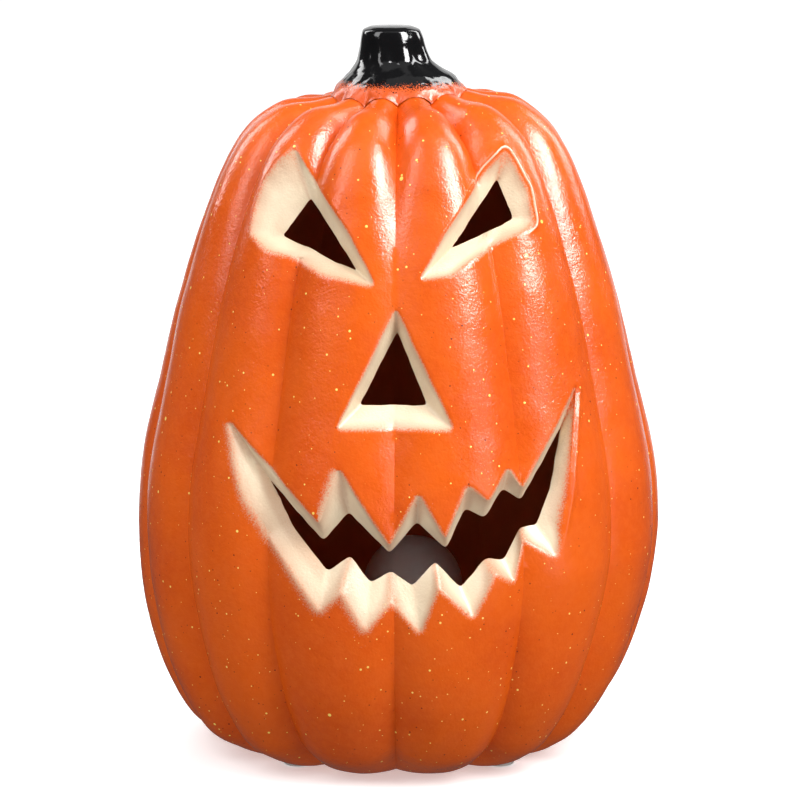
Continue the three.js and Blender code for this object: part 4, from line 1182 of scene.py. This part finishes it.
def make_camera():
    data = bpy.data.cameras.new("camera")
    data.lens, data.sensor_width = CAMERA_LENS, 36
    camera = add_object("camera", data)
    tilt = math.radians(CAMERA_ELEVATION)
    away = Vector((0, -math.cos(tilt), math.sin(tilt))) * CAMERA_DISTANCE
    camera.location = Vector(CAMERA_TARGET) + away
    camera.rotation_euler = (math.radians(90) - tilt, 0, 0)
    bpy.context.scene.camera = camera


LIGHT_TARGET = Vector((0, 0, 0.13))
BOTH, REFLECTED, MATT = (True, True), (True, False), (False, True)
# Softboxes: (name, azimuth, elevation, distance, size, strength, what they light). The azimuth is
# from the front, positive to the right.
PANELS = [
    ("left_softbox", -58, 44, 1.3, (0.32, 0.92), 7, REFLECTED),
    ("right_softbox", 60, 41, 1.3, (0.60, 0.80), 36, REFLECTED),
    ("left_rear", -126, 36, 1.5, (0.35, 1.1), 9, REFLECTED),
    ("right_rear", 124, 35, 1.5, (0.35, 1.1), 10, REFLECTED),
    ("left_fill", -38, 40, 1.3, (0.6, 1.0), 3.7, MATT),
    ("right_fill", 50, 40, 1.3, (0.6, 1.0), 8.2, MATT),
    ("low_right_fill", 50, 0, 1.5, (0.8, 0.8), 1.9, BOTH),
    ("back_fill", 180, 40, 1.5, (1.0, 1.0), 2.0, MATT),
    ("back_wall", 180, 10, 2.2, (2.4, 1.8), 0.9, REFLECTED),
    ("top_sheen", 20, 72, 1.8, (2.2, 1.4), 0.5, REFLECTED),
    ("ceiling", 0, 89.9, 2.4, (8, 8), 0.4, MATT),
]


def add_panel(name, azimuth, elevation, distance, size, strength, lit):
    """A softbox aimed at the ware."""
    around, up = math.radians(azimuth), math.radians(elevation)
    away = Vector((math.sin(around) * math.cos(up), -math.cos(around) * math.cos(up), math.sin(up)))
    data = bpy.data.lights.new(name, "AREA")
    data.shape = "RECTANGLE"
    data.size, data.size_y = size
    data.energy = strength * math.pi * size[0] * size[1]
    light = add_object(name, data)
    light.location = LIGHT_TARGET + away * distance
    light.rotation_euler = (-away).to_track_quat("-Z", "Y").to_euler()
    light.visible_camera = False
    light.visible_glossy, light.visible_diffuse = lit


WORLD_LOW, WORLD_HIGH, WORLD_RISE = 0.46, 0.50, (-0.15, 0.35)
WORLD_GLOSS = 0.18  # how much of it shows in reflections, as most of the studio is dark


def make_world():
    """Even white light, a little less of it from below, and little of it in reflections."""
    world = bpy.data.worlds.new("studio")
    world.use_nodes = True
    tree = world.node_tree
    background = tree.nodes["Background"]
    background.inputs[0].default_value = (1, 1, 1, 1)
    place, split, rise, ray, share, strength = (
        tree.nodes.new("ShaderNode" + kind)
        for kind in ("TexCoord", "SeparateXYZ", "MapRange", "LightPath", "MapRange", "Math"))
    strength.operation = "MULTIPLY"
    for socket, value in zip(rise.inputs[1:5], (*WORLD_RISE, WORLD_LOW, WORLD_HIGH)):
        socket.default_value = value
    share.inputs[3].default_value, share.inputs[4].default_value = 1.0, WORLD_GLOSS
    for output, socket in (
            (place.outputs["Generated"], split.inputs[0]), (split.outputs[2], rise.inputs[0]),
            (ray.outputs["Is Glossy Ray"], share.inputs[0]), (rise.outputs[0], strength.inputs[0]),
            (share.outputs[0], strength.inputs[1]), (strength.outputs[0], background.inputs[1])):
        tree.links.new(output, socket)
    bpy.context.scene.world = world


FLOOR_REACH = 6.0
BACKDROP_RADIUS, BACKDROP_HEIGHT, BACKDROP_SIDES = 5.5, 5.0, 48


def add_stage_mesh(name, points, faces, **settings):
    """A part of the studio that the ware isn't lit by and doesn't reflect."""
    mesh = bpy.data.meshes.new(name)
    mesh.from_pydata(points, [], faces)
    mesh.materials.append(Finish(name + "_paper").set(Emission_Color=(1, 1, 1, 1), **settings))
    added = add_object(name, mesh)
    added.visible_diffuse = added.visible_glossy = False
    return added


def make_stage():
    make_world()
    bpy.context.scene.view_settings.view_transform = "Standard"
    for row in PANELS:
        add_panel(*row)
    reach = FLOOR_REACH
    add_stage_mesh("floor", [(-reach, -reach, 0), (reach, -reach, 0), (reach, reach, 0), (-reach, reach, 0)],
                   [(0, 1, 2, 3)], Base_Color=(0.92, 0.92, 0.92, 1), Roughness=0.9,
                   Specular_IOR_Level=0.0, Emission_Strength=0.4)
    make_backdrop()


def make_backdrop():
    """A white surround that only the camera sees, so that every view has the same plain ground."""
    count = BACKDROP_SIDES
    around = [i * math.tau / count for i in range(count)]
    points = [(BACKDROP_RADIUS * math.sin(a), BACKDROP_RADIUS * math.cos(a), z)
              for z in (-0.01, BACKDROP_HEIGHT) for a in around]
    faces = [(i, (i + 1) % count, count + (i + 1) % count, count + i) for i in range(count)]
    faces.append(tuple(range(count, 2 * count)))
    backdrop = add_stage_mesh("backdrop", points, faces, Base_Color=(0, 0, 0, 1),
                              Emission_Strength=1.0, Roughness=1.0)
    backdrop.visible_shadow = backdrop.visible_transmission = False


make_camera()
make_stage()
declare(build_body(), [orange_glaze(), hollow_clay()], "orange_glaze", "pumpkin_body")
declare(build_stem(), [stem_glaze()], "black_glaze", "stem")
make_finishes()
add_pads()
add_power()
add_moving()
add_dome()
add_lamps()
add_wires()
add_board_parts()
add_closure()
finish_cad_nodes()
